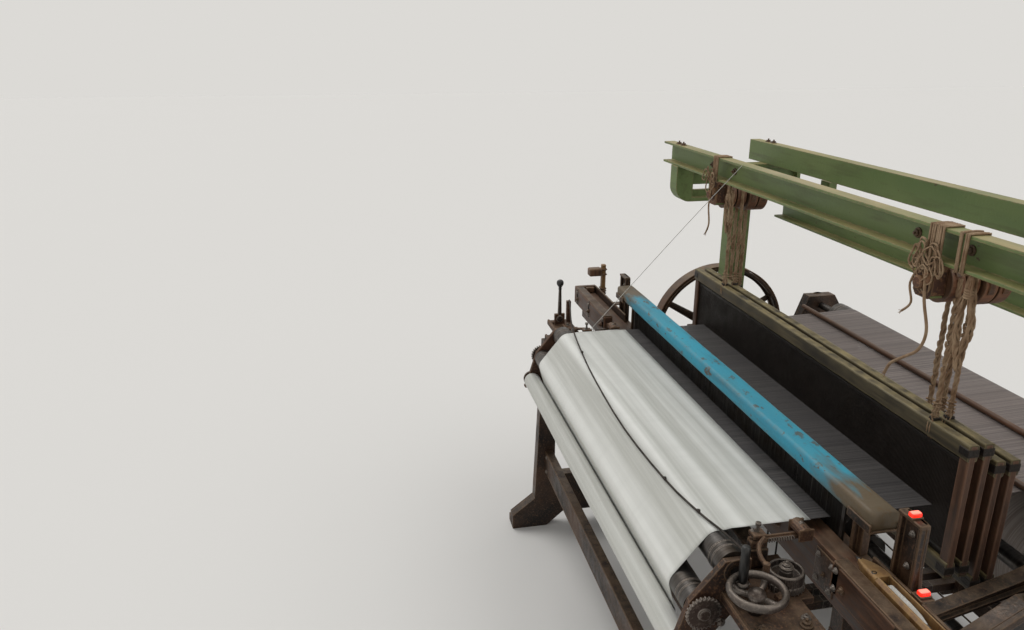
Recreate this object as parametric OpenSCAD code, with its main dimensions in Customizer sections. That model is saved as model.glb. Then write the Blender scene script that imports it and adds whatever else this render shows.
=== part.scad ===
// Power loom for cotton cloth: cast side frames, an overhead heald motion hung from
// two channels, a rocking sley with shuttle boxes, rollers for the cloth and a warp beam.
// X runs along the loom, -Y is the weaver's side, Z is up, the origin is on the floor.

/* [Widths] */
// Width of the cloth between its selvedges
cloth_w = 1220; // [1120:10:1230]
// Clear width between the two side frames
inner_w = 1600; // [1590:10:1640]
// Overall length of the sley with its shuttle boxes
sley_l = 2320; // [2300:10:2360]
// Length of the two overhead girders
girder_l = 1940; // [1860:10:2100]

/* [Side frames] */
// Thickness of a side frame casting
frame_t = 35; // [28:1:40]
// Depth over the feet, front to back
foot_depth = 1560; // [1540:10:1600]
// Height of the frame's front shoulder and bearing seats
frame_h = 800; // [796:1:806]
// Distance between the foot bolt holes, front to back
foot_bolts = 1440; // [1420:10:1460]
// Radius of a foot bolt hole
foot_hole_r = 9; // [6:0.5:12]

/* [Overhead] */
// Height of the girders' underside
girder_z = 1440; // [1425:5:1460]
// Height of a girder channel
girder_h = 75; // [60:1:90]
// Depth of a girder channel
girder_d = 40; // [34:1:40]
// Wall of the girders and of the slotted channel
channel_wall = 7; // [5:0.5:9]
// Depth of a top arm casting under the girders
arm_h = 130; // [110:5:140]
// Width of a top arm's flanges
arm_w = 60; // [50:1:64]
// Drum radius that carries the front healds
drum_front_r = 46; // [42:1:48]
// Drum radius that carries the back healds
drum_back_r = 56; // [52:1:60]

/* [Sley] */
// Height of the race board's top above the frame's shoulder
race_rise = 78; // [74:1:80]
// Radius of the rocking shaft
rock_r = 22; // [18:1:24]
// Width of a sley sword
sword_w = 40; // [34:1:44]
// Height of the reed above the beam
reed_h = 124; // [115:1:130]
// Depth of the reed cap, front to back
cap_d = 60; // [50:1:64]
// Length of the shuttle
shuttle_l = 340; // [300:5:345]
// Height of the shuttle
shuttle_h = 32; // [26:1:34]

/* [Healds] */
// Distance between neighbouring healds
heald_pitch = 36; // [35:0.5:36]
// Height of a heald over its two staves
heald_h = 325; // [320:1:340]
// Thickness of a heald stave
stave_t = 24; // [14:1:26]
// Number of warp ribbons that stand for the warp
ribbons = 60; // [50:2:60]

/* [Rollers] */
// Radius of the guide roller at the breast
guide_r = 35; // [32:0.5:35]
// Radius of the take-up roller
takeup_r = 31; // [28:0.5:31.5]
// Radius of the cloth roll with its cloth
cloth_roll_r = 29; // [26:0.5:30]
// Radius of the roller journals
journal_r = 13; // [10:0.5:15]
// Radius of the back rest roller
rest_r = 45; // [40:1:48]
// Radius of the yarn on the warp beam
yarn_r = 170; // [120:5:200]
// Radius of the warp beam's flanges
flange_r = 235; // [220:1:240]
// Radius of the handwheel
wheel_r = 60; // [56:1:66]
// Radius of the ratchet drum
ratchet_r = 40; // [30:1:41]

/* [Drive] */
// Radius of the crankshaft and the tappet shaft
shaft_r = 21; // [18:0.5:23]
// Throw of the cranks
crank_throw = 66; // [60:1:68]
// Radius of the loom pulley
pulley_r = 270; // [240:5:280]
// Radius of the motor pulley
motor_pulley_r = 50; // [40:1:60]
// Throw of a tappet, from its shaft to its own centre
tappet_throw = 22; // [16:1:24]

/* [Hidden] */
run_gap = 0.05;
soft_gap = 0.3;
cloth_t = 1.2;
fx = inner_w / 2;
cx = cloth_w / 2;
sx = sley_l / 2;
frame_out = fx + frame_t;
roller_x = fx - 116;
heald_x = fx - 110;
sword_x = fx - 135;
box_x = fx - 50;
arm_x = fx + 20;
race_z = frame_h + race_rise;
guide_top = frame_h + 100;
rail_top = guide_top - 30;
shelf_out = frame_out + 165;
handle_x = frame_out + 96.5;

// Crankshaft, tappet shaft and rocking shaft
crank_y = 115;
crank_z = frame_h - 60;
pin_turn = 23;
pin_y = crank_y - crank_throw * sin(pin_turn);
pin_z = crank_z + crank_throw * cos(pin_turn);
tappet_y = 200;
tappet_z = 360;
rock_y = -345;
rock_z = 120;
wrist_y = -290;
wrist_z = frame_h - 100;
throw_x = fx - 100;
throw_span = 68;
web_t = 22;
pin_r = 18;
arm_in = fx - 75;

// Gears between the crankshaft and the tappet shaft
gear_x = -frame_out - 90;
gear_t = 25;
gear_span = norm([tappet_y - crank_y, tappet_z - crank_z]);
gear_turn = atan2(tappet_z - crank_z, tappet_y - crank_y);
small_teeth = 24;
small_r = gear_span / 3;
large_r = gear_span * 2 / 3;
gear_module = 2 * small_r / small_teeth;

// Belt drive at the far end
pulley_x = gear_x - 75;
pulley_w = 60;
motor_y = 500;
motor_z = 200;
motor_r = 78;
motor_l = 130;
motor_x = pulley_x - 10;
motor_base_z = 92;
belt_t = 6;

// Reed, race and boxes
reed_y = -363;
reed_t = 6;
beam_top = race_z - 13;
beam_bottom = beam_top - 90;
beam_front = -415;
beam_back = -330;
box_front = -445;
shuttle_w = 39;
shuttle_y = reed_y - 2 - shuttle_w / 2;
shuttle_rest_x = sx - 85 - shuttle_l / 2;
cap_z = beam_top + reed_h - 15;
cap_h = 40;
cap_x = fx - 24;
plate_post_x = cap_x + 16;
lamp_z = cap_z + cap_h + 22;
lamp_x = fx + 88;
stick_x = sx - 40;
stick_y = beam_back - 15;

// Warp and cloth line
fell_y = -410;
guide_y = -621;
guide_z = guide_top - guide_r;
takeup_y = -691;
takeup_z = frame_h - 15;
roll_y = -731.5;
roll_z = frame_h - 100;
warp_t = 1;
warp_z = guide_z + guide_r + soft_gap + cloth_t / 2;
ribbon_pitch = cloth_w / ribbons;
ribbon_w = ribbon_pitch * 0.69;
rest_y = 475;
rest_z = frame_h + 75;
warp_beam_y = 545;
warp_beam_z = 500;
beam_half = fx - 60;

// Healds, front to back, and the drums that lift them
heald_ys = [for (i = [0:3]) -5 - (3 - i) * heald_pitch];
heald_rise = [20, 20, -24, -24];
heald_top = frame_h + 270;
strap_t = 3;
strap_w = 14;
drum_x = fx - 280;
drum_z = girder_z - drum_front_r - 2;
drum_shaft_r = 12;
hanger_y = -161;
back_girder_y = 190;
slot_y = 240;
slot_z = girder_z - 200;
slot_pitch = arm_x / 4.3;

// Treadles under the healds
fulcrum_y = 565;
fulcrum_z = 160;
fulcrum_r = 12;
treadle_w = 28;
treadle_x = 30;
treadle_h = 30;
front_tie_y = -650;
rear_tie_y = fulcrum_y + 25;

// Breast, take-up and temples
rail_y = -565;
rail_d = 40;
plate_x = roller_x + 2;
plate_t = 14;
shelf_t = 15;
shelf_front = -600;
shelf_back = -512;
handle_y = -565;
handle_z = frame_h + 40;
wheel_x = plate_x + plate_t + wheel_r + 3;
wheel_y = -608;
wheel_top = frame_h + 72;
grip_x = wheel_x - wheel_r * 0.62;
grip_y = wheel_y - wheel_r * 0.2;
ratchet_x = cx + 90;
ratchet_y = -511;
temple_y = -447;

// Loose cord over the cloth and the thread from the front girder
cord_r = 2.5;
cord_post_x = frame_out + 135;
cord_route = [[-cord_post_x, -520, guide_top + 5], [-cord_post_x + 110, -545, guide_top + 7],
    [-fx + 60, -575, guide_top + 7], [-cx, -600, guide_top + 6], [-410, -627, guide_top + 6],
    [-200, -645, guide_top - 1], [100, -655, guide_top - 12], [380, -650, guide_top - 6],
    [cx - 70, -636, guide_top + 4], [cx + 10, -618, guide_top + 6], [roller_x - 2, -606, guide_top + 4],
    [roller_x + 9, -602, guide_top - 7.2]];
thread_r = 1;
thread_route = [[-330, hanger_y - 1.2, girder_z + girder_h - 1], [-430, -278, 1322], [-535, -405, 1109],
    [-cx - 25, -535, guide_top - 3.8]];

// A box between two corners
module block(x0, x1, y0, y1, z0, z1)
    translate([x0, y0, z0]) cube([x1 - x0, y1 - y0, z1 - z0]);

// A round bar along X, Y or Z
module bar_x(x0, x1, y, z, r) translate([x0, y, z]) rotate([0, 90, 0]) cylinder(h = x1 - x0, r = r, $fn = 64);
module bar_y(y0, y1, x, z, r) translate([x, y1, z]) rotate([90, 0, 0]) cylinder(h = y1 - y0, r = r, $fn = 64);
module bar_z(z0, z1, x, y, r) translate([x, y, z0]) cylinder(h = z1 - z0, r = r, $fn = 64);

// An outline in Y and Z, extruded along X from x
module across(x, w) translate([x, 0, 0]) rotate([90, 0, 90]) linear_extrude(w) children();

// Mirrors its children to the far end of the loom
module far() mirror([1, 0, 0]) children();

// A tube swept along route points with a ring at every point
function unit(v) = v / norm(v);
function heading(p, i) = unit(p[min(i + 1, len(p) - 1)] - p[max(i - 1, 0)]);
function ring(c, t, r, n) = let (u = unit(cross(t, [0, 0, 1])), w = cross(u, t))
    [for (k = [0:n - 1]) c + r * cos(360 * k / n) * u + r * sin(360 * k / n) * w];
module sweep(p, r, n = 8) {
    m = len(p);
    points = [for (i = [0:m - 1]) each ring(p[i], heading(p, i), r, n)];
    sides = [for (i = [0:m - 2], k = [0:n - 1])
        [i * n + k, i * n + (k + 1) % n, (i + 1) * n + (k + 1) % n, (i + 1) * n + k]];
    polyhedron(points, concat([[for (k = [n - 1:-1:0]) k]], sides, [[for (k = [0:n - 1]) (m - 1) * n + k]]));
}

// Points of an arc in Y and Z
function arc(y, z, r, a0, a1, n) = [for (i = [0:n])
    let (a = a0 + (a1 - a0) * i / n) [y + r * cos(a), z + r * sin(a)]];

// Side frames
frame_ys = foot_depth / 2;
module frame_outline() polygon([[-frame_ys, 0], [-frame_ys + 140, 0], [-570, 60], [570, 60],
    [frame_ys - 140, 0], [frame_ys, 0], [frame_ys, 60], [700, 130], [670, 700], [530, rest_z + 40],
    [420, rest_z + 40], [380, frame_h], [-50, frame_h], [-180, frame_h - 80], [-480, frame_h - 80],
    [-500, frame_h], [-660, frame_h], [-690, 130], [-frame_ys, 60]]);
module side_frame() color("#3b2f28") difference() {
    union() {
        across(fx, frame_t) frame_outline();
        block(fx, frame_out + 55, -50, 250, frame_h - 20, frame_h);
        for (y = [-1, 1]) block(fx, frame_out + 40, y * frame_ys - (y > 0 ? 120 : 0),
            y * frame_ys + (y > 0 ? 0 : 120), 0, 30);
        for (p = [[crank_y, crank_z], [tappet_y, tappet_z], [warp_beam_y, warp_beam_z]])
            bar_x(fx, frame_out + 15, p[0], p[1], 55);
    }
    block(fx - 5, frame_out + 5, -610, -430, 230, 640);
    block(fx - 5, frame_out + 5, -350, 120, 230, 600);
    block(fx - 5, frame_out + 5, 280, 460, 230, 740);
    bar_x(fx - 5, frame_out + 20, crank_y, crank_z, shaft_r + run_gap);
    bar_x(fx - 5, frame_out + 20, tappet_y, tappet_z, shaft_r + run_gap);
    bar_x(fx - 5, frame_out + 20, rock_y, rock_z, rock_r + run_gap);
    bar_x(fx - 5, frame_out + 20, warp_beam_y, warp_beam_z, journal_r + run_gap);
    bar_x(fx - 5, frame_out + 20, rest_y, rest_z, journal_r + run_gap);
    for (y = [-1, 1]) bar_z(-1, 31, frame_out + 20, y * foot_bolts / 2, foot_hole_r);
}
module side_frame_right() side_frame();
module side_frame_left() far() side_frame();

// Rails between the frames
module front_cross_rail() color("#3b2f28") block(-fx, fx, front_tie_y, front_tie_y + 30, 250, 340);
module rear_cross_rail() color("#3b2f28") {
    block(-fx, fx, rear_tie_y, rear_tie_y + 50, 90, 200);
    for (x = [-70, -10, 50]) block(x, x + 20, fulcrum_y - 25, rear_tie_y, 100, 190);
    bar_x(-70, 70, fulcrum_y, fulcrum_z, fulcrum_r);
}
module breast_rail() color("#3a3330")
    block(-cx - 40, cx + 40, rail_y, rail_y + rail_d, rail_top - 40, rail_top);

// Posts with the curved arms that carry the girders
module arm_outline() difference() {
    union() {
        polygon([[-110, girder_z - arm_h], [330, girder_z - arm_h], [330, girder_z], [-165, girder_z],
            [-165, girder_z - arm_h + 55]]);
        translate([-110, girder_z - arm_h + 55]) circle(r = 55, $fn = 64);
    }
    for (y = [-90, 180]) translate([y, girder_z - arm_h + 40]) square([70, 20]);
}
module top_arm() {
    difference() {
        across(arm_x, arm_w) arm_outline();
        for (x = [arm_x - 1, arm_x + arm_w / 2 + 8])
            block(x, x + arm_w / 2 - 7, -100, 316, girder_z - arm_h + 14, girder_z - 14);
    }
    difference() {
        block(arm_x, arm_x + arm_w, 60, 140, frame_h, girder_z - arm_h + 0.5);
        for (x = [arm_x - 1, arm_x + arm_w / 2 + 8])
            block(x, x + arm_w / 2 - 7, 72, 128, frame_h + 30, girder_z - arm_h - 20);
    }
}
module top_arm_right() color("#9a7340") top_arm();
module top_arm_left() color("#3f4a35") far() top_arm();

// Overhead channels
module channel(y, z, l, d, h, open_front) difference() {
    block(-l / 2, l / 2, y, y + d, z, z + h);
    block(-l / 2 - 1, l / 2 + 1, y + (open_front ? -1 : channel_wall),
        y + d - (open_front ? channel_wall : -1), z + channel_wall, z + h - channel_wall);
}
module front_girder() color("#6d7355") {
    channel(hanger_y, girder_z, girder_l, girder_d, girder_h, true);
    for (s = [-1, 1]) difference() {
        block(s * drum_x - 26, s * drum_x + 26, hanger_y + 2, hanger_y + 30, drum_z - 30, girder_z);
        bar_y(hanger_y, hanger_y + 32, s * drum_x, drum_z, drum_shaft_r + run_gap);
    }
}
module back_girder() color("#6d7355") channel(back_girder_y, girder_z, girder_l, girder_d, girder_h, false);
module slotted_channel() color("#5c5848") {
    difference() {
        channel(slot_y, slot_z, 2 * arm_x, girder_d, 125, true);
        for (i = [-3.5:1:3.5])
            block(i * slot_pitch - 40, i * slot_pitch + 40, slot_y + 20, slot_y + 50, slot_z + 50, slot_z + 75);
    }
    for (s = [-1, 1]) difference() {
        block(s * drum_x - 26, s * drum_x + 26, slot_y + 6, slot_y + 34, slot_z + 124, drum_z + 30);
        bar_y(slot_y + 5, slot_y + 35, s * drum_x, drum_z, drum_shaft_r + run_gap);
    }
}

// Brackets with the roller bearings and the take-up shelf
module bearing_outline() polygon([[roll_y - 25, roll_z - 28], [roll_y + 30, roll_z - 28], [-590, frame_h],
    [-590, guide_z + 25], [guide_y - 25, guide_z + 25], [takeup_y - 25, takeup_z + 20]]);
module roller_bracket() difference() {
    union() {
        across(plate_x, plate_t) bearing_outline();
        block(cx - 10, max(ratchet_x + ratchet_r + 6, plate_x + plate_t), rail_y - 10,
            ratchet_y + ratchet_r, frame_h, frame_h + shelf_t);
        block(plate_x, frame_out, -650, -500, frame_h, frame_h + shelf_t);
        block(frame_out - 1, shelf_out, shelf_front, shelf_back, frame_h, frame_h + shelf_t);
        block(cx - 10, cx + 30, rail_y, rail_y + rail_d, frame_h, rail_top - 40);
    }
    bar_x(plate_x - 1, plate_x + plate_t + 1, guide_y, guide_z, journal_r + run_gap);
    bar_x(plate_x - 1, plate_x + plate_t + 1, takeup_y, takeup_z, journal_r + run_gap);
    bar_x(plate_x - 1, plate_x + plate_t + 1, roll_y, roll_z, journal_r + run_gap);
    bar_z(frame_h - 1, frame_h + shelf_t + 1, wheel_x, wheel_y, 8 + run_gap);
    bar_z(frame_h - 1, frame_h + shelf_t + 1, ratchet_x, ratchet_y, 8 + run_gap);
}
module roller_bracket_right() color("#4a3a30") roller_bracket();
module roller_bracket_left() color("#4a3a30") {
    far() roller_bracket();
    block(-cord_post_x - 8, -cord_post_x + 8, -530, -514, frame_h + shelf_t - 1, guide_top + 2);
    difference() {
        block(-handle_x - 18.5, -handle_x - 6.5, handle_y - 20, handle_y + 20,
            frame_h + shelf_t - 1, guide_top - 40);
        bar_x(-handle_x - 19.5, -handle_x - 5.5, handle_y, handle_z, 6 + run_gap);
    }
}
module temple() {
    block(cx + 15, cx + 35, rail_y, rail_y + rail_d, rail_top, rail_top + 10);
    block(cx + 15, cx + 35, rail_y, temple_y + 22, rail_top + 10, rail_top + 25);
    difference() {
        block(cx + 3, cx + 50, temple_y - 22, temple_y + 22, rail_top + 12, guide_top + 15);
        block(cx + 2, cx + 10, temple_y - 23, temple_y + 23, guide_top - 4, guide_top + 5);
    }
}
module temple_right() color("#5d3b26") temple();
module temple_left() color("#5d3b26") far() temple();

// Cloth from the fell over the guide and take-up rollers
cloth_gap = soft_gap + cloth_t / 2;
function offset_path(p, d) = [for (i = [0:len(p) - 1])
    let (a = p[min(i + 1, len(p) - 1)] - p[max(i - 1, 0)], n = [-a[1], a[0]] / norm(a)) p[i] + d * n];
module strip(p, t) polygon(concat(offset_path(p, t / 2),
    [for (i = [len(p) - 1:-1:0]) offset_path(p, -t / 2)[i]]));
guide_run = guide_r + cloth_gap;
takeup_run = takeup_r + cloth_gap;
roll_run = cloth_roll_r + cloth_gap;
function tangent_turn(a, b, reach) = 360 + atan2(b[1] - a[1], b[0] - a[0]) - acos(reach / norm(b - a));
guide_c = [guide_y, guide_z];
takeup_c = [takeup_y, takeup_z];
roll_c = [roll_y, roll_z];
over_turn = tangent_turn(guide_c, takeup_c, guide_run - takeup_run);
leave_turn = tangent_turn(takeup_c, roll_c, takeup_run + roll_run);
cloth_path = concat([[fell_y, warp_z]], arc(guide_y, guide_z, guide_run, 90, over_turn, 14),
    arc(takeup_y, takeup_z, takeup_run, over_turn, leave_turn, 12),
    [roll_c - roll_run * [cos(leave_turn), sin(leave_turn)]]);
module cloth() color("#b9b3a6") across(-cx, cloth_w) strip(cloth_path, cloth_t);

// The warp as ribbons: over the back rest to the healds, and on to the fell
rest_run = rest_r + soft_gap + warp_t / 2;
yarn_run = yarn_r + soft_gap + warp_t / 2;
rest_c = [rest_y, rest_z];
yarn_c = [warp_beam_y, warp_beam_z];
yarn_span = norm(yarn_c - rest_c);
rest_turn = atan2(warp_beam_z - rest_z, warp_beam_y - rest_y) + acos((rest_run - yarn_run) / yarn_span);
heald_mid = -5 - 1.5 * heald_pitch;
function warp_at(y) = warp_z + (rest_z + rest_run - warp_z) * (y - heald_mid) / (rest_y - heald_mid);
warp_path = concat([[heald_mid, warp_z]], arc(rest_y, rest_z, rest_run, 90, rest_turn, 8),
    [yarn_c + yarn_run * [cos(rest_turn), sin(rest_turn)]]);
module ribbon_row() for (i = [0:ribbons - 1])
    across(-cx + (i + 0.5) * ribbon_pitch - ribbon_w / 2, ribbon_w) children();
module warp_sheet() color("#8f8a80") ribbon_row() strip(warp_path, warp_t);
module warp_shed() color("#8f8a80") ribbon_row() strip([[heald_mid, warp_z], [fell_y, warp_z]], warp_t);
module lease_rods() color("#4a3a2c") {
    for (y = [120, 315]) bar_x(-cx - 60, cx + 60, y, warp_at(y) + warp_t / 2 + soft_gap + 8, 8);
}

// Crankshaft with a throw beside each sword, and its two arms
module crank_web() {
    translate([crank_y, crank_z]) circle(r = 32, $fn = 64);
    translate([pin_y, pin_z]) circle(r = 28, $fn = 64);
    translate([crank_y, crank_z]) rotate(pin_turn) translate([-26, 0]) square([52, crank_throw]);
}
module throw_at(x) {
    for (w = [x, x + throw_span]) across(w, web_t) crank_web();
    bar_x(x + web_t - 1, x + throw_span + 1, pin_y, pin_z, pin_r);
}
module crankshaft() color("#55504a") {
    throw_at(throw_x);
    far() throw_at(throw_x);
    bar_x(-throw_x - 1, throw_x + 1, crank_y, crank_z, shaft_r);
    bar_x(throw_x + throw_span + web_t - 1, frame_out + 25, crank_y, crank_z, shaft_r);
    bar_x(pulley_x - 5, -throw_x - throw_span - web_t + 1, crank_y, crank_z, shaft_r);
}
arm_turn = atan2(pin_z - wrist_z, pin_y - wrist_y);
arm_l = norm([pin_y - wrist_y, pin_z - wrist_z]);
module crank_arm() difference() {
    union() {
        bar_x(arm_in, arm_in + 40, pin_y, pin_z, pin_r * 2);
        bar_x(arm_in, arm_in + 40, wrist_y, wrist_z, 25);
        bar_x(sword_x + sword_w + 1, arm_in + 1, wrist_y, wrist_z, 10);
        translate([arm_in + 3, wrist_y, wrist_z]) rotate([arm_turn, 0, 0]) translate([0, 0, -15])
            cube([34, arm_l, 30]);
    }
    bar_x(arm_in - 1, arm_in + 41, pin_y, pin_z, pin_r + run_gap);
}
module crank_arm_right() color("#4a4038") crank_arm();
module crank_arm_left() color("#4a4038") far() crank_arm();

// Gears between the crankshaft and the tappet shaft
function tooth(r, a, pitch) = [for (c = [[-0.26, -0.7], [-0.13, 0.6], [0.13, 0.6], [0.26, -0.7]])
    (r + c[1] * gear_module) * [cos(a + c[0] * pitch), sin(a + c[0] * pitch)]];
module gear(y, z, r, n, turn, hub) difference() {
    union() {
        translate([gear_x, y, z]) rotate([90, 0, 90]) linear_extrude(gear_t)
            polygon([for (i = [0:n - 1]) each tooth(r, turn + i * 360 / n, 360 / n)]);
        bar_x(gear_x - 8, gear_x + gear_t + 8, y, z, hub);
    }
    bar_x(gear_x - 9, gear_x + gear_t + 9, y, z, shaft_r + run_gap);
}
module crank_gear() color("#5a5148") gear(crank_y, crank_z, small_r, small_teeth, gear_turn, 45);
module tappet_gear() color("#5a5148") gear(tappet_y, tappet_z, large_r, 2 * small_teeth,
    gear_turn + 180 + 90 / small_teeth, 60);
module tappet_shaft() color("#55504a") {
    bar_x(gear_x - 12, frame_out + 20, tappet_y, tappet_z, shaft_r);
    for (s = [-1, 1]) bar_x(s * treadle_x - 14, s * treadle_x + 14, tappet_y, tappet_z - s * tappet_throw, 60);
}

// Belt drive from the motor at the far end
module wheel_disc(x, w, y, z, r, rim, hub) difference() {
    bar_x(x, x + w, y, z, r);
    for (e = [x - 1, x + w / 2 + 6]) difference() {
        bar_x(e, e + w / 2 - 5, y, z, r - rim);
        bar_x(e - 1, e + w / 2 - 4, y, z, hub);
    }
    bar_x(x - 1, x + w + 1, y, z, shaft_r + run_gap);
}
module loom_pulley() color("#5b4a3a") difference() {
    wheel_disc(pulley_x, pulley_w, crank_y, crank_z, pulley_r, 14, 48);
    for (a = [30:60:330]) across(pulley_x - 1, pulley_w + 2) polygon(concat(
        arc(crank_y, crank_z, pulley_r - 22, a + 6, a + 54, 12),
        arc(crank_y, crank_z, 62, a + 42, a + 18, 4)));
}
module motor_pulley() color("#4c4c4c") {
    bar_x(pulley_x + 5, pulley_x + 55, motor_y, motor_z, motor_pulley_r);
    bar_x(pulley_x - 30, pulley_x + 6, motor_y, motor_z, 10);
}
module motor() color("#4f5a50") difference() {
    union() {
        bar_x(motor_x - motor_l, motor_x, motor_y, motor_z, motor_r);
        block(motor_x - motor_l + 10, motor_x - 10, motor_y - 60, motor_y + 60,
            motor_base_z + 18, motor_z - 40);
        block(motor_x - motor_l, -frame_out, motor_y - 80, motor_y + 80, motor_base_z, motor_base_z + 19);
    }
    bar_x(pulley_x - 31, pulley_x, motor_y, motor_z, 10 + run_gap);
}
drive_turn = atan2(motor_z - crank_z, motor_y - crank_y);
drive_lean = acos((pulley_r - motor_pulley_r) / norm([motor_y - crank_y, motor_z - crank_z]));
module belt_loop(d) polygon(concat(
    arc(crank_y, crank_z, pulley_r + d, drive_turn + drive_lean, drive_turn - drive_lean + 360, 60),
    arc(motor_y, motor_z, motor_pulley_r + d, drive_turn - drive_lean, drive_turn + drive_lean, 24)));
module drive_belt() color("#5a4632") across(pulley_x + 5, pulley_w - 10) difference() {
    belt_loop(soft_gap * 2 + belt_t);
    belt_loop(soft_gap * 2);
}

// Sley: shaft, swords, beam, reed, cap and shuttle boxes
module rock_end() {
    block(sx - 130, sx - 10, -395, -355, rock_z - rock_r, rock_z + 40);
    bar_y(-356, -318, stick_x, rock_z + 20, 10);
}
module rocking_shaft() color("#4a4440") {
    bar_x(-sx + 100, sx - 100, rock_y, rock_z, rock_r);
    rock_end();
    far() rock_end();
}
module sword() difference() {
    union() {
        bar_x(sword_x, sword_x + sword_w, rock_y, rock_z, rock_r + 18);
        block(sword_x, sword_x + sword_w, rock_y - 20, rock_y + 20, rock_z, beam_bottom);
        block(sword_x, sword_x + sword_w, rock_y + 15, wrist_y + 15, wrist_z - 20, wrist_z + 20);
    }
    bar_x(sword_x - 1, sword_x + sword_w + 1, rock_y, rock_z, rock_r + run_gap);
}
module sword_right() color("#50443a") sword();
module sword_left() color("#50443a") far() sword();
module sley_beam() color("#6a4a30") {
    block(-sx + 20, sx - 20, beam_front, reed_y - 2, beam_bottom, race_z);
    block(-sx + 20, sx - 20, reed_y - 3, reed_y + 8, beam_bottom, beam_top);
    block(-sx + 260, sx - 260, reed_y + 7, beam_back, beam_bottom, beam_top);
}
module reed() color("#6d6a62") {
    for (z = [beam_top, beam_top + reed_h - 10]) block(-cx - 45, cx + 45, reed_y, reed_y + reed_t, z, z + 10);
    for (i = [0:ribbons]) let (x = -cx + i * ribbon_pitch)
        block(x - 0.6, x + 0.6, reed_y, reed_y + reed_t, beam_top + 9, beam_top + reed_h - 9);
    for (s = [-1, 1]) block(s * (cx + 40) - 5, s * (cx + 40) + 5, reed_y, reed_y + reed_t,
        beam_top, beam_top + reed_h);
}
module reed_cap() color("#2f7380") {
    difference() {
        block(-cap_x, cap_x, reed_y + 3 - cap_d / 2, reed_y + 3 + cap_d / 2, cap_z, cap_z + cap_h);
        block(-cx - 46, cx + 46, reed_y - soft_gap, reed_y + reed_t + soft_gap,
            cap_z - 1, cap_z + 15 + soft_gap);
    }
    for (s = [-1, 1]) block(s * (sword_x + sword_w / 2) - sword_w / 2, s * (sword_x + sword_w / 2) + sword_w / 2,
        beam_back - 20, beam_back, beam_top, cap_z + 1);
}
module shuttle_box() {
    block(box_x, sx - 20, box_front, beam_front, race_z - 45, race_z + 27);
    block(box_x, sx - 20, beam_front - 1, beam_front + 8, race_z, race_z + 27);
    block(box_x, sx - 20, reed_y, reed_y + 8, beam_top, race_z + 27);
    block(sx - 20, sx, box_front, reed_y + 8, race_z - 45, race_z + 27);
    block(plate_post_x, plate_post_x + 72, reed_y + 8, beam_back - 2, beam_top, lamp_z);
    block(lamp_x - 15, lamp_x + 15, reed_y, beam_back - 5, race_z + 26, race_z + 31);
}
module shuttle_box_right() color("#5e3d28") shuttle_box();
module shuttle_box_left() color("#5e3d28") far() shuttle_box();
module box_lamps() color("#c02018") {
    block(plate_post_x + 28, plate_post_x + 42, reed_y + 8, beam_back - 3, lamp_z, lamp_z + 12);
    block(lamp_x - 7, lamp_x + 7, reed_y + 1, beam_back - 6, race_z + 31, race_z + 43);
}
module picking_stick() {
    difference() {
        block(stick_x - 15, stick_x + 15, stick_y, stick_y + 20, rock_z - 10, race_z + 122);
        bar_y(stick_y - 1, stick_y + 21, stick_x, rock_z + 20, 10 + run_gap);
    }
    block(stick_x - 20, stick_x + 20, stick_y - 55, stick_y, race_z + 77, race_z + 110);
}
module picking_stick_right() color("#8a6238") picking_stick();
module picking_stick_left() color("#8a6238") far() picking_stick();
module shuttle() color("#a5773f") translate([shuttle_rest_x, shuttle_y, race_z + soft_gap]) {
    difference() {
        linear_extrude(shuttle_h) polygon([[-shuttle_l / 2, 0], [50 - shuttle_l / 2, -shuttle_w / 2],
            [shuttle_l / 2 - 50, -shuttle_w / 2], [shuttle_l / 2, 0], [shuttle_l / 2 - 50, shuttle_w / 2],
            [50 - shuttle_l / 2, shuttle_w / 2]]);
        block(-80, 80, -11, 11, shuttle_h - 22, shuttle_h + 1);
    }
    bar_x(-81, 60, 0, shuttle_h - 12, 7);
}

// Healds with their straps and the drums that lift them
module heald(k) {
    y = heald_ys[k];
    top = heald_top + heald_rise[k];
    front = k < 2;
    r = (front ? drum_front_r : drum_back_r) + soft_gap;
    rod_x = front ? -treadle_x : treadle_x;
    for (z = [top - 40, top - heald_h]) block(-heald_x, heald_x, y - stave_t / 2, y + stave_t / 2, z, z + 40);
    for (s = [-1, 1]) {
        block(s * (heald_x - 9) - 9, s * (heald_x - 9) + 9, y - 7, y + 7, top - heald_h, top);
        translate([s * drum_x + (front ? r : -r - strap_t), y - strap_w / 2, top - 1])
            cube([strap_t, strap_w, drum_z + 18 - top]);
    }
    for (i = [k % 2:2:ribbons]) let (x = -cx + i * ribbon_pitch)
        block(x - 0.8, x + 0.8, y - 0.8, y + 0.8, top - heald_h + 39, top - 39);
    bar_z(fulcrum_z + treadle_h / 2 + 2, top - heald_h + 1, rod_x, y, 3);
}
module heald_1() color("#8b8560") heald(0);
module heald_2() color("#7d7656") heald(1);
module heald_3() color("#8b8560") heald(2);
module heald_4() color("#7d7656") heald(3);
module heald_drum() {
    bar_y(hanger_y - 14, 280, drum_x, drum_z, drum_shaft_r);
    for (k = [0:3]) bar_y(heald_ys[k] - 15, heald_ys[k] + 15, drum_x, drum_z, k < 2 ? drum_front_r : drum_back_r);
    bar_y(heald_ys[0] - 14, heald_ys[3] + 14, drum_x, drum_z, drum_front_r - 14);
}
module heald_drum_right() color("#6b4528") heald_drum();
module heald_drum_left() color("#6b4528") translate([-2 * drum_x, 0, 0]) heald_drum();
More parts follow.
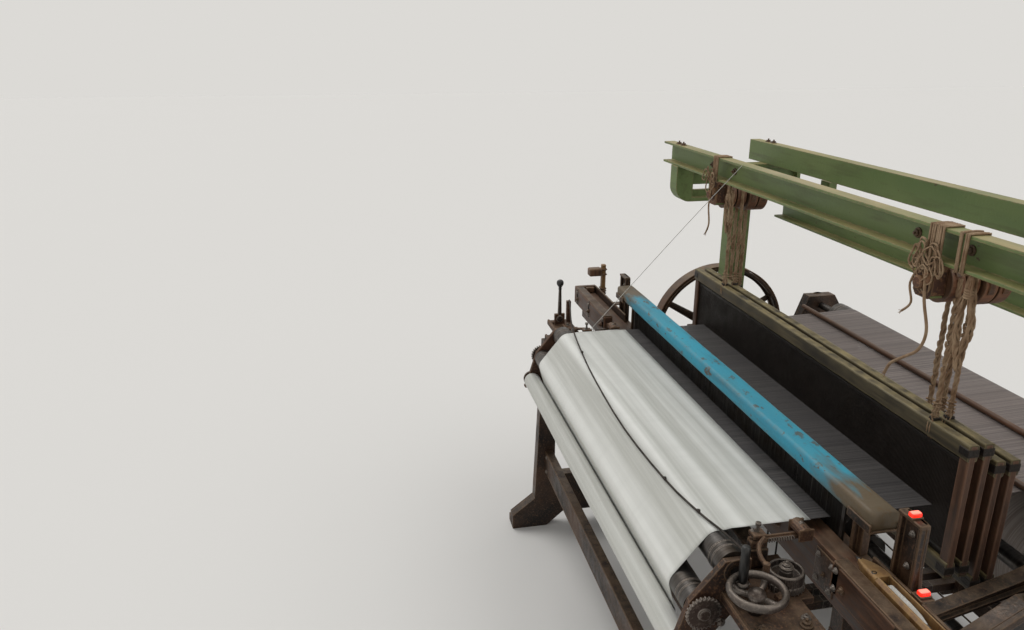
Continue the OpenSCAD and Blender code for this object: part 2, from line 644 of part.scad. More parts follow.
module treadle(x) difference() {
    union() {
        block(x - treadle_w / 2, x + treadle_w / 2, heald_ys[0] - 7, fulcrum_y + 18,
            fulcrum_z - treadle_h / 2, fulcrum_z + treadle_h / 2);
        bar_x(x - treadle_w / 2, x + treadle_w / 2, tappet_y, fulcrum_z + 30, 30);
    }
    bar_x(x - treadle_w, x + treadle_w, fulcrum_y, fulcrum_z, fulcrum_r + run_gap);
}
module treadle_front() color("#54483c") treadle(-treadle_x);
module treadle_back() color("#54483c") treadle(treadle_x);

// Rollers, take-up and warp beam
module roller(y, z, r, end) {
    bar_x(-roller_x, roller_x, y, z, r);
    bar_x(-end, end, y, z, journal_r);
}
journal_end = plate_x + plate_t + 3;
module guide_roller() color("#6e6a66") roller(guide_y, guide_z, guide_r, journal_end - 1);
module take_up_roller() color("#6e6a66") roller(takeup_y, takeup_z, takeup_r, journal_end);
module cloth_roll() color("#aba69a") roller(roll_y, roll_z, cloth_roll_r, journal_end);
module back_rest_roller() color("#5f564c") roller(rest_y, rest_z, rest_r, frame_out + 5);
module handwheel() color("#4d4a48") {
    bar_z(frame_h - 8, wheel_top - 4, wheel_x, wheel_y, 8);
    bar_z(frame_h + shelf_t + soft_gap, wheel_top - 8, wheel_x, wheel_y, 15);
    difference() {
        bar_z(wheel_top - 26, wheel_top, wheel_x, wheel_y, wheel_r);
        bar_z(wheel_top - 20, wheel_top + 1, wheel_x, wheel_y, wheel_r - 7);
        for (a = [0:90:270]) bar_z(wheel_top - 27, wheel_top - 19, wheel_x + 34 * cos(a), wheel_y + 34 * sin(a), 11);
    }
}
module crank_handle() color("#1d1c1c") bar_z(wheel_top - 20, wheel_top + 70, grip_x, grip_y, 10);
module ratchet_wheel() color("#5a4a3c") {
    bar_z(frame_h - 8, wheel_top, ratchet_x, ratchet_y, 8);
    translate([ratchet_x, ratchet_y, frame_h + shelf_t + soft_gap]) linear_extrude(40)
        polygon([for (i = [0:23]) each [ratchet_r * [cos(i * 15), sin(i * 15)],
            (ratchet_r - 4) * [cos(i * 15 + 3), sin(i * 15 + 3)]]]);
    bar_z(frame_h + shelf_t + 40, wheel_top - 6, ratchet_x, ratchet_y, 14);
}
module warp_beam() color("#6f5a44") {
    bar_x(-beam_half + 90, beam_half - 90, warp_beam_y, warp_beam_z, 60);
    for (x = [-cx - 32, cx + 20]) bar_x(x, x + 12, warp_beam_y, warp_beam_z, flange_r);
    bar_x(-frame_out - 20, frame_out + 20, warp_beam_y, warp_beam_z, journal_r);
}
module warp_yarn() color("#d8d4cb") difference() {
    bar_x(-cx - 18, cx + 18, warp_beam_y, warp_beam_z, yarn_r);
    bar_x(-cx - 19, cx + 19, warp_beam_y, warp_beam_z, 60 + run_gap);
}
module starting_handle() color("#2b2a29") {
    bar_x(-handle_x - 18.5, -handle_x - 4.5, handle_y, handle_z, 6);
    bar_x(-handle_x - 6, -handle_x + 6.5, handle_y, handle_z, 14);
    block(-handle_x - 5.5, -handle_x + 5.5, handle_y - 8, handle_y + 8, handle_z, handle_z + 135);
    translate([-handle_x, handle_y, handle_z + 145]) sphere(r = 14, $fn = 48);
}

// Cords
module stop_cord() color("#d9d3c4") sweep(cord_route, cord_r);
module girder_thread() color("#e4e0d6") sweep(thread_route, thread_r);

side_frame_left();
side_frame_right();
front_cross_rail();
rear_cross_rail();
breast_rail();
top_arm_left();
top_arm_right();
front_girder();
back_girder();
slotted_channel();
roller_bracket_left();
roller_bracket_right();
temple_left();
temple_right();
cloth();
warp_sheet();
warp_shed();
lease_rods();
motor();
drive_belt();
stop_cord();
girder_thread();
crankshaft();
loom_pulley();
crank_gear();
crank_arm_left();
crank_arm_right();
tappet_shaft();
tappet_gear();
motor_pulley();
rocking_shaft();
sword_left();
sword_right();
sley_beam();
reed();
reed_cap();
shuttle_box_left();
shuttle_box_right();
box_lamps();
picking_stick_left();
picking_stick_right();
shuttle();
heald_drum_left();
heald_drum_right();
heald_1();
heald_2();
heald_3();
heald_4();
treadle_front();
treadle_back();
guide_roller();
take_up_roller();
cloth_roll();
handwheel();
crank_handle();
ratchet_wheel();
back_rest_roller();
warp_beam();
warp_yarn();
starting_handle();
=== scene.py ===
import bpy, bmesh, math, random
from mathutils import Vector, Matrix


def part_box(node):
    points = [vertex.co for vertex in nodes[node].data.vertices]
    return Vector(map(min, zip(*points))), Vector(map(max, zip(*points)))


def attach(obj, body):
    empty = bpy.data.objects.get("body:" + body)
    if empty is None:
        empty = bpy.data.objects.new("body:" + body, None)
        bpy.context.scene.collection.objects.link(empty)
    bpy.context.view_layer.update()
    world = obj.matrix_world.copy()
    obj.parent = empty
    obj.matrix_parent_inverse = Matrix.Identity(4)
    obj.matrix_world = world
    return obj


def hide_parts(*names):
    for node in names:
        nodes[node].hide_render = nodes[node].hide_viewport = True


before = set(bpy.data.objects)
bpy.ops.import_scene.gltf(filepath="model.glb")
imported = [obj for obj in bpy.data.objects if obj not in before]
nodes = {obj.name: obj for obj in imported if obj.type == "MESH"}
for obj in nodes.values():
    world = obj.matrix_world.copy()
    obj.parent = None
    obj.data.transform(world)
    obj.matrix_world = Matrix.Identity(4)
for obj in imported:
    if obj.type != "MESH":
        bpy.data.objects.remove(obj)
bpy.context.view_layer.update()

scene = bpy.context.scene
mm = 0.001

# Camera, where the photographer stood: at the near end, above the weaver's aisle
cameraSettings = {
    "place": (1.94, -1.325, 1.87),
    "right": (0.1937, 0.9811, 0.0),
    "forward": (-0.9285, 0.1834, -0.3230),
    "focalPixels": 800,
    "frameWidth": 1024,
}


def makeCamera(s):
    forward = Vector(s["forward"]).normalized()
    right = Vector(s["right"])
    right = (right - right.dot(forward) * forward).normalized()
    up = right.cross(forward)
    turn = Matrix((right, up, -forward)).transposed().to_4x4()
    data = bpy.data.cameras.new("loomCamera")
    data.sensor_width = 36
    data.lens = 36 * s["focalPixels"] / s["frameWidth"]
    camera = bpy.data.objects.new("loomCamera", data)
    camera.matrix_world = Matrix.Translation(s["place"]) @ turn
    scene.collection.objects.link(camera)
    scene.camera = camera


makeCamera(cameraSettings)
print("camera placed")


# Colours are written as sRGB hex and turned to linear here
def colour(text):
    values = [int(text[i:i + 2], 16) / 255 for i in (1, 3, 5)]
    return [c / 12.92 if c < 0.04045 else ((c + 0.055) / 1.055) ** 2.4 for c in values] + [1]


def addNode(tree, kind, settings=None, **links):
    node = tree.nodes.new(kind)
    for name, value in (settings or {}).items():
        setattr(node, name, value)
    for name, value in links.items():
        key = int(name[1:]) if name[0] == "n" and name[1:].isdigit() else name
        socket = node.inputs[key]
        if isinstance(value, bpy.types.NodeSocket):
            tree.links.new(value, socket)
        else:
            socket.default_value = value
    return node


def maths(tree, operation, a, b=0.5):
    return addNode(tree, "ShaderNodeMath", {"operation": operation}, n0=a, n1=b).outputs[0]


def newMaterial(name):
    material = bpy.data.materials.new(name)
    material.use_nodes = True
    tree = material.node_tree
    place = addNode(tree, "ShaderNodeTexCoord").outputs["Object"]
    return material, tree, tree.nodes["Principled BSDF"], place


def ramp(tree, value, low, high, dark=(0, 0, 0, 1), light=(1, 1, 1, 1)):
    node = addNode(tree, "ShaderNodeValToRGB", None, Fac=value)
    node.color_ramp.elements[0].position = low
    node.color_ramp.elements[1].position = high
    node.color_ramp.elements[0].color = dark
    node.color_ramp.elements[1].color = light
    return node.outputs["Color"]


def blendColours(tree, amount, under, over):
    return addNode(tree, "ShaderNodeMix", {"data_type": "RGBA"}, n0=amount, n6=under, n7=over).outputs[2]


def noiseOf(tree, place, size, detail=4, stretch=(1, 1, 1), rough=0.55):
    spread = addNode(tree, "ShaderNodeMapping", None, Vector=place, Scale=stretch)
    return addNode(tree, "ShaderNodeTexNoise", None, Vector=spread.outputs[0], Scale=1 / size, Detail=detail,
                   Roughness=rough).outputs["Fac"]


# How much a face looks up, where lint and dust settle
def facingUp(tree, low=0.55, high=0.95):
    normal = addNode(tree, "ShaderNodeTexCoord").outputs["Normal"]
    height = addNode(tree, "ShaderNodeSeparateXYZ", None, Vector=normal).outputs["Z"]
    return ramp(tree, height, low, high)


# Where a rounded edge departs from its flat face: paint wears through there
def edgeWear(tree, radius, low=0.02, high=0.16):
    soft = addNode(tree, "ShaderNodeBevel", {"samples": 4}, Radius=radius).outputs[0]
    true = addNode(tree, "ShaderNodeNewGeometry").outputs["Normal"]
    apart = addNode(tree, "ShaderNodeVectorMath", {"operation": "DISTANCE"}, n0=soft,
                    n1=true).outputs["Value"]
    return ramp(tree, apart, low, high), soft


def multiply(tree, a, b):
    return addNode(tree, "ShaderNodeMath", {"operation": "MULTIPLY", "use_clamp": True}, n0=a,
                   n1=b).outputs[0]


# One colour laid over another where a pattern shows, at a strength
def layer(tree, base, pattern, strength, tint):
    return blendColours(tree, multiply(tree, pattern, strength), base, colour(tint))


# Roughness from one value to another, as a pattern goes from dark to light
def greys(tree, value, smoothest, roughest, low=0.3, high=0.7):
    return ramp(tree, value, low, high, (smoothest,) * 3 + (1,), (roughest,) * 3 + (1,))


def finishSurface(tree, shader, base, rough, grit, depth, normal=None):
    tree.links.new(base, shader.inputs["Base Color"])
    tree.links.new(rough, shader.inputs["Roughness"])
    bump = addNode(tree, "ShaderNodeBump", None, Strength=1.0, Distance=depth, Height=grit)
    if normal:
        tree.links.new(normal, bump.inputs["Normal"])
    tree.links.new(bump.outputs[0], shader.inputs["Normal"])


# Sand-cast iron, never painted: near black with machine oil, brown rust and grey lint on top
def castIron(name, s):
    material, tree, shader, place = newMaterial(name)
    patches = ramp(tree, noiseOf(tree, place, s["patch"], 5), 0.38, 0.66)
    base = blendColours(tree, patches, colour(s["oil"]), colour(s["rust"]))
    fine = noiseOf(tree, place, s["grit"], 6)
    base = blendColours(tree, ramp(tree, fine, 0.52, 0.72), base, colour(s["bright"]))
    dust = multiply(tree, facingUp(tree), ramp(tree, noiseOf(tree, place, 0.03, 6), 0.30, 0.68))
    base = layer(tree, base, dust, s["dustAmount"], s["dust"])
    wear, soft = edgeWear(tree, 0.0035)
    base = layer(tree, base, wear, 0.55, s["edge"])
    shader.inputs["Metallic"].default_value = s["metal"]
    rough = greys(tree, noiseOf(tree, place, 0.05, 4), s["rough"] - 0.14, s["rough"] + 0.14)
    finishSurface(tree, shader, base, rough, fine, 0.0011, soft)
    return material


ironSettings = {"oil": "#1b1512", "rust": "#46301f", "bright": "#5c4432", "dust": "#776550",
                "edge": "#7a6046", "dustAmount": 0.5, "patch": 0.12, "grit": 0.006, "metal": 0.25,
                "rough": 0.5}


# Brushed-on enamel over iron, decades old: faded colour, yellow dust on the top faces, rust at chips
def oldPaint(name, s):
    material, tree, shader, place = newMaterial(name)
    clouds = noiseOf(tree, place, 0.18, 5, (0.35, 1, 1))
    base = blendColours(tree, ramp(tree, clouds, 0.3, 0.72), colour(s["paint"]), colour(s["faded"]))
    streak = noiseOf(tree, place, 0.02, 6, (0.12, 1, 1))
    base = layer(tree, base, ramp(tree, streak, 0.5, 0.75), 0.6, s["stain"])
    flaws = noiseOf(tree, place, 0.028, 8, (0.6, 1, 1), 0.68)
    chips = ramp(tree, flaws, s["chipFrom"], s["chipFrom"] + 0.04)
    base = blendColours(tree, chips, base, colour(s["rust"]))
    wear, soft = edgeWear(tree, 0.004)
    ragged = ramp(tree, noiseOf(tree, place, 0.018, 5), 0.35, 0.6)
    base = layer(tree, base, wear, ragged, s["edge"])
    dust = multiply(tree, facingUp(tree), ramp(tree, noiseOf(tree, place, 0.07, 6, (0.4, 1, 1)), 0.22, 0.62))
    base = layer(tree, base, dust, s["dustAmount"], s["dust"])
    if "worn" in s:  # paint rubbed through to the wood towards the ends, where hands hold the rail
        along = addNode(tree, "ShaderNodeSeparateXYZ", None, Vector=place).outputs["X"]
        reach = maths(tree, "ABSOLUTE", along)
        near = addNode(tree, "ShaderNodeMapRange", None, Value=reach, n1=s["wornFrom"],
                       n2=s["wornTo"]).outputs[0]
        torn = maths(tree, "SUBTRACT", near, noiseOf(tree, place, 0.035, 7, (0.3, 1, 1)))
        base = layer(tree, base, ramp(tree, torn, 0.0, 0.35), 0.95, s["worn"])
    finishSurface(tree, shader, base, greys(tree, clouds, 0.42, 0.72), noiseOf(tree, place, 0.012, 6), 0.0009,
                  soft)
    return material


greenSettings = {"paint": "#566a39", "faded": "#6f7d49", "stain": "#464728", "rust": "#45311f",
                 "edge": "#93825a", "dust": "#a29163", "dustAmount": 0.85, "chipFrom": 0.66}
ochreSettings = {"paint": "#7d5a2a", "faded": "#a27c40", "stain": "#4c3618", "rust": "#3a2616",
                 "edge": "#b08d55", "dust": "#b3935a", "dustAmount": 0.5, "chipFrom": 0.64}
tealSettings = {"paint": "#1a7c95", "faded": "#2a9cb6", "stain": "#26505a", "rust": "#4b3c2d",
                "edge": "#75776c", "dust": "#46919f", "dustAmount": 0.4, "chipFrom": 0.58,
                "worn": "#5c482b", "wornFrom": 0.40, "wornTo": 0.74}


# Turned steel, polished by cloth and oil: dark with long fine marks round the roller
def turnedSteel(name, s):
    material, tree, shader, place = newMaterial(name)
    rings = noiseOf(tree, place, 0.004, 4, (1, 0.02, 0.02))
    stain = noiseOf(tree, place, 0.06, 5)
    base = blendColours(tree, ramp(tree, stain, 0.42, 0.7), colour(s["steel"]), colour(s["stain"]))
    base = layer(tree, base, ramp(tree, rings, 0.4, 0.7), 0.2, s["bright"])
    shader.inputs["Metallic"].default_value = 0.85
    finishSurface(tree, shader, base, greys(tree, stain, s["rough"], s["rough"] + 0.22), rings, 0.0001)
    return material


steelSettings = {"steel": "#4d4a48", "stain": "#33291f", "bright": "#8c8780", "rough": 0.26}


# Hardwood soaked with oil: grain along the piece, lighter where hands and shuttle rub it
def oiledWood(name, s):
    material, tree, shader, place = newMaterial(name)
    grain = noiseOf(tree, place, 0.012, 6, s["along"], 0.62)
    base = blendColours(tree, ramp(tree, grain, 0.34, 0.68), colour(s["dark"]), colour(s["light"]))
    base = layer(tree, base, ramp(tree, noiseOf(tree, place, 0.09, 6), 0.42, 0.7), 0.7, s["dirt"])
    wear, soft = edgeWear(tree, 0.003)
    base = layer(tree, base, wear, 0.5, s["edge"])
    dust = multiply(tree, facingUp(tree), ramp(tree, noiseOf(tree, place, 0.04, 6), 0.35, 0.7))
    base = layer(tree, base, dust, s.get("dustAmount", 0.4), s["dust"])
    finishSurface(tree, shader, base, greys(tree, grain, 0.42, 0.66), grain, 0.0009, soft)
    return material


boxWood = {"dark": "#2e1c12", "light": "#5c3b25", "dirt": "#1d140e", "edge": "#8a6242", "dust": "#7d6a54",
           "along": (0.08, 1, 1)}
staveWood = {"dark": "#332c20", "light": "#5d5239", "dirt": "#1d1812", "edge": "#8d7f57", "dust": "#9a8a5e",
             "along": (0.06, 1, 1), "dustAmount": 0.9}
endWood = {"dark": "#3c281c", "light": "#694a37", "dirt": "#21160f", "edge": "#86624a", "dust": "#75604a",
           "along": (1, 1, 0.06)}
drumWood = {"dark": "#5b3a27", "light": "#8a5f43", "dirt": "#2d1d14", "edge": "#a8805c", "dust": "#a58968",
            "along": (1, 0.1, 1)}
stickWood = {"dark": "#6b4a2c", "light": "#94703f", "dirt": "#3a2817", "edge": "#b08e5c", "dust": "#9c8560",
             "along": (1, 1, 0.08)}


# Plain-woven bleached cotton, finely pressed by its rollers: a soft sheen and a fine weave
def wovenCotton(name, s):
    material, tree, shader, place = newMaterial(name)
    across = addNode(tree, "ShaderNodeTexWave", {"wave_type": "BANDS", "bands_direction": "X"}, Vector=place,
                     Scale=s["weave"], Distortion=0.0).outputs["Fac"]
    bands = noiseOf(tree, place, 0.05, 2, (0.02, 1, 1))
    base = blendColours(tree, ramp(tree, bands, 0.38, 0.62), colour(s["cloth"]), colour(s["shade"]))
    base = layer(tree, base, ramp(tree, noiseOf(tree, place, 0.006, 4, (0.02, 1, 1)), 0.42, 0.75), 0.3,
                 s["slub"])
    base = layer(tree, base, ramp(tree, noiseOf(tree, place, 0.03, 3, (1, 0.02, 0.02)), 0.45, 0.8), 0.2,
                 s["shade"])
    base = layer(tree, base, ramp(tree, noiseOf(tree, place, 0.04, 7), 0.7, 0.84), 0.3, s["oilMark"])
    shader.inputs["Sheen Weight"].default_value = 0.15
    finishSurface(tree, shader, base, greys(tree, bands, s["rough"], s["rough"] + 0.12), across, 0.00012)
    return material


clothSettings = {"weave": 314, "cloth": "#dcdcd6", "shade": "#b4b4ac", "slub": "#e6e6e0",
                 "oilMark": "#a39a8d", "rough": 0.4}


# Sized cotton yarn lying side by side: grey-brown, with darker and lighter ends
def warpYarn(name, s):
    material, tree, shader, place = newMaterial(name)
    ends = noiseOf(tree, place, 0.0035, 3, (1, 0.003, 0.003))
    wide = noiseOf(tree, place, 0.09, 3, (1, 0.05, 0.05))
    base = blendColours(tree, ramp(tree, ends, 0.32, 0.68), colour(s["dark"]), colour(s["light"]))
    base = layer(tree, base, ramp(tree, wide, 0.4, 0.7), 0.5, s["tint"])
    finishSurface(tree, shader, base, greys(tree, ends, 0.55, 0.8, 0.2, 0.8), ends, 0.0005)
    return material


warpSettings = {"dark": "#4e4643", "light": "#8d827c", "tint": "#6c615c"}
shedSettings = {"dark": "#262424", "light": "#565250", "tint": "#3d3a3b"}  # in the shade of the shafts
beamYarnSettings = {"dark": "#7a706a", "light": "#b0a59d", "tint": "#938983"}


# Twisted cotton cord, greyed by oil: strands show as slanting bands
def cottonCord(name, s):
    material, tree, shader, place = newMaterial(name)
    strands = addNode(tree, "ShaderNodeTexWave", {"wave_type": "BANDS", "bands_direction": "DIAGONAL"},
                      Vector=place, Scale=s["twist"], Distortion=1.5, Detail=2.0).outputs["Fac"]
    soil = noiseOf(tree, place, 0.03, 5)
    base = blendColours(tree, ramp(tree, soil, 0.35, 0.7), colour(s["cotton"]), colour(s["soiled"]))
    base = blendColours(tree, ramp(tree, strands, 0.0, 0.5, (0.4,) * 3 + (1,)), colour(s["shadow"]), base)
    finishSurface(tree, shader, base, greys(tree, soil, 0.75, 0.9), strands, 0.0006)
    return material


# Moulded black phenolic, hand-worn: dull gloss with fine scratches
def blackPhenolic(name):
    material, tree, shader, place = newMaterial(name)
    marks = noiseOf(tree, place, 0.004, 5, (1, 1, 0.2))
    base = blendColours(tree, ramp(tree, marks, 0.45, 0.75), colour("#141414"), colour("#34302c"))
    finishSurface(tree, shader, base, greys(tree, marks, 0.3, 0.5), marks, 0.0003)
    return material


# Red acrylic lens over a lit lamp: bright, smooth, with a glow of its own
def redLens(name):
    material, tree, shader, place = newMaterial(name)
    glow = noiseOf(tree, place, 0.006, 3)
    base = blendColours(tree, ramp(tree, glow, 0.35, 0.7), colour("#ff2a18"), colour("#c21008"))
    lit = layer(tree, colour("#ff2413"), facingUp(tree, 0.6, 1.0), 0.75, "#ffb39c")
    tree.links.new(lit, shader.inputs["Emission Color"])
    shader.inputs["Emission Strength"].default_value = 1.3
    finishSurface(tree, shader, base, greys(tree, glow, 0.2, 0.3), glow, 0.0001)
    return material


hangerIron = dict(ironSettings, oil="#3a2417", rust="#6b4128", bright="#8a6242", dust="#8f7350",
                  edge="#9c7a55", metal=0.1, rough=0.7)
ledgeIron = dict(ironSettings, oil="#261a13", rust="#4d3222", bright="#6e4e36", dust="#74604a",
                 edge="#866a50", rough=0.62)
wireIron = dict(ironSettings, oil="#120f0d", rust="#1f1813", bright="#352b23", dustAmount=0.2, edge="#352b23")
handledIron = dict(ironSettings, oil="#2c2724", rust="#453730", bright="#6d6259", edge="#a39a90", metal=0.55,
                   rough=0.42, dustAmount=0.3)
strapLeather = dict(stickWood, dark="#3d2a1d", light="#6d4c33", edge="#8b6a4b")
cordSettings = {"cotton": "#b59a7a", "soiled": "#856548", "shadow": "#5a4330", "twist": 260}
threadSettings = {"cotton": "#eceae4", "soiled": "#cfcabf", "shadow": "#a9a498", "twist": 500}
darkCordSettings = {"cotton": "#4a4038", "soiled": "#2c2621", "shadow": "#17130f", "twist": 260}
finishes = {
    "iron": castIron("oilyCastIron", ironSettings),
    "green": oldPaint("fadedGreenEnamel", greenSettings),
    "ochre": oldPaint("ochreEnamel", ochreSettings),
    "teal": oldPaint("tealEnamel", tealSettings),
    "steel": turnedSteel("turnedRollerSteel", steelSettings),
    "box": oiledWood("oiledBoxWood", boxWood),
    "stave": oiledWood("dustyStaveWood", staveWood),
    "staveEnd": oiledWood("darkStaveEndWood", endWood),
    "rust": castIron("rustyHangerIron", hangerIron),
    "ledge": castIron("rustyLedgeIron", ledgeIron),
    "drum": oiledWood("turnedDrumWood", drumWood),
    "stick": oiledWood("ashStickWood", stickWood),
    "cloth": wovenCotton("bleachedCotton", clothSettings),
    "warp": warpYarn("sizedWarp", warpSettings),
    "shed": warpYarn("shadedWarp", shedSettings),
    "beamYarn": warpYarn("beamYarn", beamYarnSettings),
    "cord": cottonCord("twistedCord", cordSettings),
    "thread": cottonCord("whiteThread", threadSettings),
    "darkCord": cottonCord("tarredCord", darkCordSettings),
    "leather": oiledWood("oiledStrapLeather", strapLeather),
    "phenolic": blackPhenolic("wornPhenolic"),
    "lens": redLens("redLens"),
    "wire": castIron("blackenedWire", wireIron),
    "wornIron": castIron("handledCastIron", handledIron),
}

nodeFinishes = {
    "iron": ["side_frame_left", "side_frame_right", "front_cross_rail", "rear_cross_rail", "breast_rail",
             "crank_gear", "tappet_gear", "loom_pulley", "motor_pulley", "rocking_shaft", "sword_left",
             "sword_right", "crank_arm_left", "crank_arm_right", "treadle_front", "treadle_back",
             "ratchet_wheel", "handwheel", "temple_left", "temple_right"],
    "ledge": ["roller_bracket_left", "roller_bracket_right"],
    "green": ["front_girder", "back_girder", "slotted_channel", "top_arm_left", "motor"],
    "ochre": ["top_arm_right"],
    "teal": ["reed_cap"],
    "steel": ["guide_roller", "take_up_roller", "crankshaft", "tappet_shaft", "back_rest_roller", "reed"],
    "box": ["shuttle_box_left", "shuttle_box_right", "sley_beam", "warp_beam", "lease_rods"],
    "stave": ["heald_1", "heald_2", "heald_3", "heald_4"],
    "drum": ["heald_drum_left", "heald_drum_right"],
    "stick": ["picking_stick_left", "picking_stick_right", "shuttle"],
    "cloth": ["cloth", "cloth_roll"],
    "warp": ["warp_sheet", "warp_shed"],
    "beamYarn": ["warp_yarn"],
    "leather": ["drive_belt"],
    "phenolic": ["crank_handle", "starting_handle"],
    "lens": ["box_lamps"],
    "darkCord": ["stop_cord"],
    "thread": ["girder_thread"],
}
for finish, names in nodeFinishes.items():
    for name in names:
        nodes[name].data.materials.clear()
        nodes[name].data.materials.append(finishes[finish])
print("materials made")


# A smooth line through route points
def smoothRoute(points, steps):
    p = [Vector(q) for q in points]
    line = []
    for i in range(len(p) - 1):
        a, b, c, d = p[max(i - 1, 0)], p[i], p[i + 1], p[min(i + 2, len(p) - 1)]
        for k in range(steps):
            t = k / steps
            line.append(0.5 * (2 * b + (c - a) * t + (2 * a - 5 * b + 4 * c - d) * t * t
                               + (3 * b - a - 3 * c + d) * t ** 3))
    return line + [p[-1]]


# A tube of one spline that follows a line
def cordCurve(name, line, radius, finish):
    data = bpy.data.curves.new(name, "CURVE")
    data.dimensions = "3D"
    data.bevel_depth = radius
    data.bevel_resolution = 2
    data.use_fill_caps = True
    spline = data.splines.new("POLY")
    spline.points.add(len(line) - 1)
    for point, place in zip(spline.points, line):
        point.co = (*place, 1)
    piece = bpy.data.objects.new(name, data)
    scene.collection.objects.link(piece)
    data.materials.append(finishes[finish])
    return piece


def meshPiece(name, bm, finish, smooth=True):
    mesh = bpy.data.meshes.new(name)
    bm.to_mesh(mesh)
    bm.free()
    for face in mesh.polygons:
        face.use_smooth = smooth
    mesh.materials.append(finishes[finish])
    piece = bpy.data.objects.new(name, mesh)
    scene.collection.objects.link(piece)
    return piece


# Dark cord that lies over the cloth, with the weaver's knots on it
stopCord = {
    "route": [(-0.970, -0.520, 0.905), (-0.860, -0.545, 0.907), (-0.740, -0.575, 0.907),
              (-0.610, -0.600, 0.906), (-0.410, -0.627, 0.906), (-0.200, -0.645, 0.899),
              (0.100, -0.655, 0.888), (0.380, -0.650, 0.894), (0.540, -0.636, 0.904), (0.620, -0.618, 0.906),
              (0.682, -0.606, 0.904), (0.693, -0.602, 0.8928)],
    "radius": 2.5 * mm,
    "knotsAt": (-0.410, 0.378, 0.537),
}


def makeStopCord(s):
    line = smoothRoute(s["route"], 3)
    cord = cordCurve("stopCordLine", line, s["radius"], "darkCord")
    knots = bmesh.new()
    for x in s["knotsAt"]:
        near = min(line, key=lambda q: abs(q.x - x))
        for turn in range(3):  # three tight loops make one knot
            place = near + mm * Vector(((turn - 1) * 3.2, 1.2 * (turn % 2), 1.6 + 1.5 * (turn % 2)))
            bmesh.ops.create_uvsphere(knots, u_segments=10, v_segments=8, radius=s["radius"] * 1.5,
                                      matrix=Matrix.Translation(place))
    knot = meshPiece("stopCordKnots", knots, "darkCord")
    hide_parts("stop_cord")
    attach(cord, "frame")
    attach(knot, "frame")


# White thread, tied at the front girder and pulled tight to the far temple
girderThread = {
    "route": [(-0.330, -0.1622, 1.514), (-0.430, -0.278, 1.322), (-0.535, -0.405, 1.109),
              (-0.635, -0.535, 0.8962)],
    "radius": 1 * mm,
}


def makeGirderThread(s):
    line = smoothRoute(s["route"], 5)
    thread = cordCurve("girderThreadLine", line, s["radius"], "thread")
    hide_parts("girder_thread")
    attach(thread, "frame")


makeStopCord(stopCord)
makeGirderThread(girderThread)
print("cords laid")


# A node tree with a geometry input and named number inputs
def newTree(name, sizes):
    tree = bpy.data.node_groups.new(name, "GeometryNodeTree")
    tree.interface.new_socket("Geometry", in_out="INPUT", socket_type="NodeSocketGeometry")
    tree.interface.new_socket("Geometry", in_out="OUTPUT", socket_type="NodeSocketGeometry")
    for label, kind in sizes.items():
        tree.interface.new_socket(label, in_out="INPUT", socket_type=kind)
    return tree, addNode(tree, "NodeGroupInput"), addNode(tree, "NodeGroupOutput")


# Runs a tree on a piece and keeps the result as a plain mesh
def bakeTree(piece, tree, values):
    modifier = piece.modifiers.new("pattern", "NODES")
    modifier.node_group = tree
    for item in tree.interface.items_tree:
        if item.in_out == "INPUT" and item.name in values:
            modifier[item.identifier] = values[item.name]
    bpy.context.view_layer.update()
    mesh = bpy.data.meshes.new_from_object(piece.evaluated_get(bpy.context.evaluated_depsgraph_get()))
    piece.modifiers.clear()
    piece.data = mesh
    return piece


# The end of every tree: the copies made real and given their material
def endTree(tree, copies, result, finish):
    real = addNode(tree, "GeometryNodeRealizeInstances", None, Geometry=copies.outputs[0])
    painted = addNode(tree, "GeometryNodeSetMaterial", None, Geometry=real.outputs[0],
                      Material=finishes[finish])
    tree.links.new(painted.outputs[0], result.inputs[0])
    return tree


# One part repeated along X: wires, dents, threads
def rowTree(finish):
    sizes = {"Count": "NodeSocketInt", "Start": "NodeSocketVector", "Step": "NodeSocketVector"}
    tree, given, result = newTree("row_" + finish, sizes)
    line = addNode(tree, "GeometryNodeMeshLine", {"mode": "OFFSET"}, Count=given.outputs["Count"],
                   n2=given.outputs["Start"], Offset=given.outputs["Step"])
    copies = addNode(tree, "GeometryNodeInstanceOnPoints", None, Points=line.outputs[0],
                     Instance=given.outputs["Geometry"])
    return endTree(tree, copies, result, finish)


# A box between two corners, added to a bmesh
def addBlock(bm, low, high, bevel=0.0, segments=2):
    low, high = Vector(low), Vector(high)
    shape = Matrix.Translation((low + high) / 2) @ Matrix.Diagonal((*(high - low), 1))
    made = bmesh.ops.create_cube(bm, size=1, matrix=shape)
    if bevel:
        edges = list({e for v in made["verts"] for e in v.link_edges})
        bmesh.ops.bevel(bm, geom=edges, offset=bevel, segments=segments, affect="EDGES", profile=0.5)


# Rings of points joined into a closed skin
def addLoft(bm, rings):
    made = [[bm.verts.new(p) for p in ring] for ring in rings]
    count = len(made[0])
    for a, b in zip(made, made[1:]):
        for k in range(count):
            bm.faces.new((a[k], a[(k + 1) % count], b[(k + 1) % count], b[k]))
    bm.faces.new(made[0])
    bm.faces.new(reversed(made[-1]))


# A block given for the near end, mirrored for the far end
def addSided(bm, side, low, high, bevel=2 * mm, segments=2):
    x0, x1 = sorted((side * low[0], side * high[0]))
    addBlock(bm, (x0, low[1], low[2]), (x1, high[1], high[2]), bevel, segments)


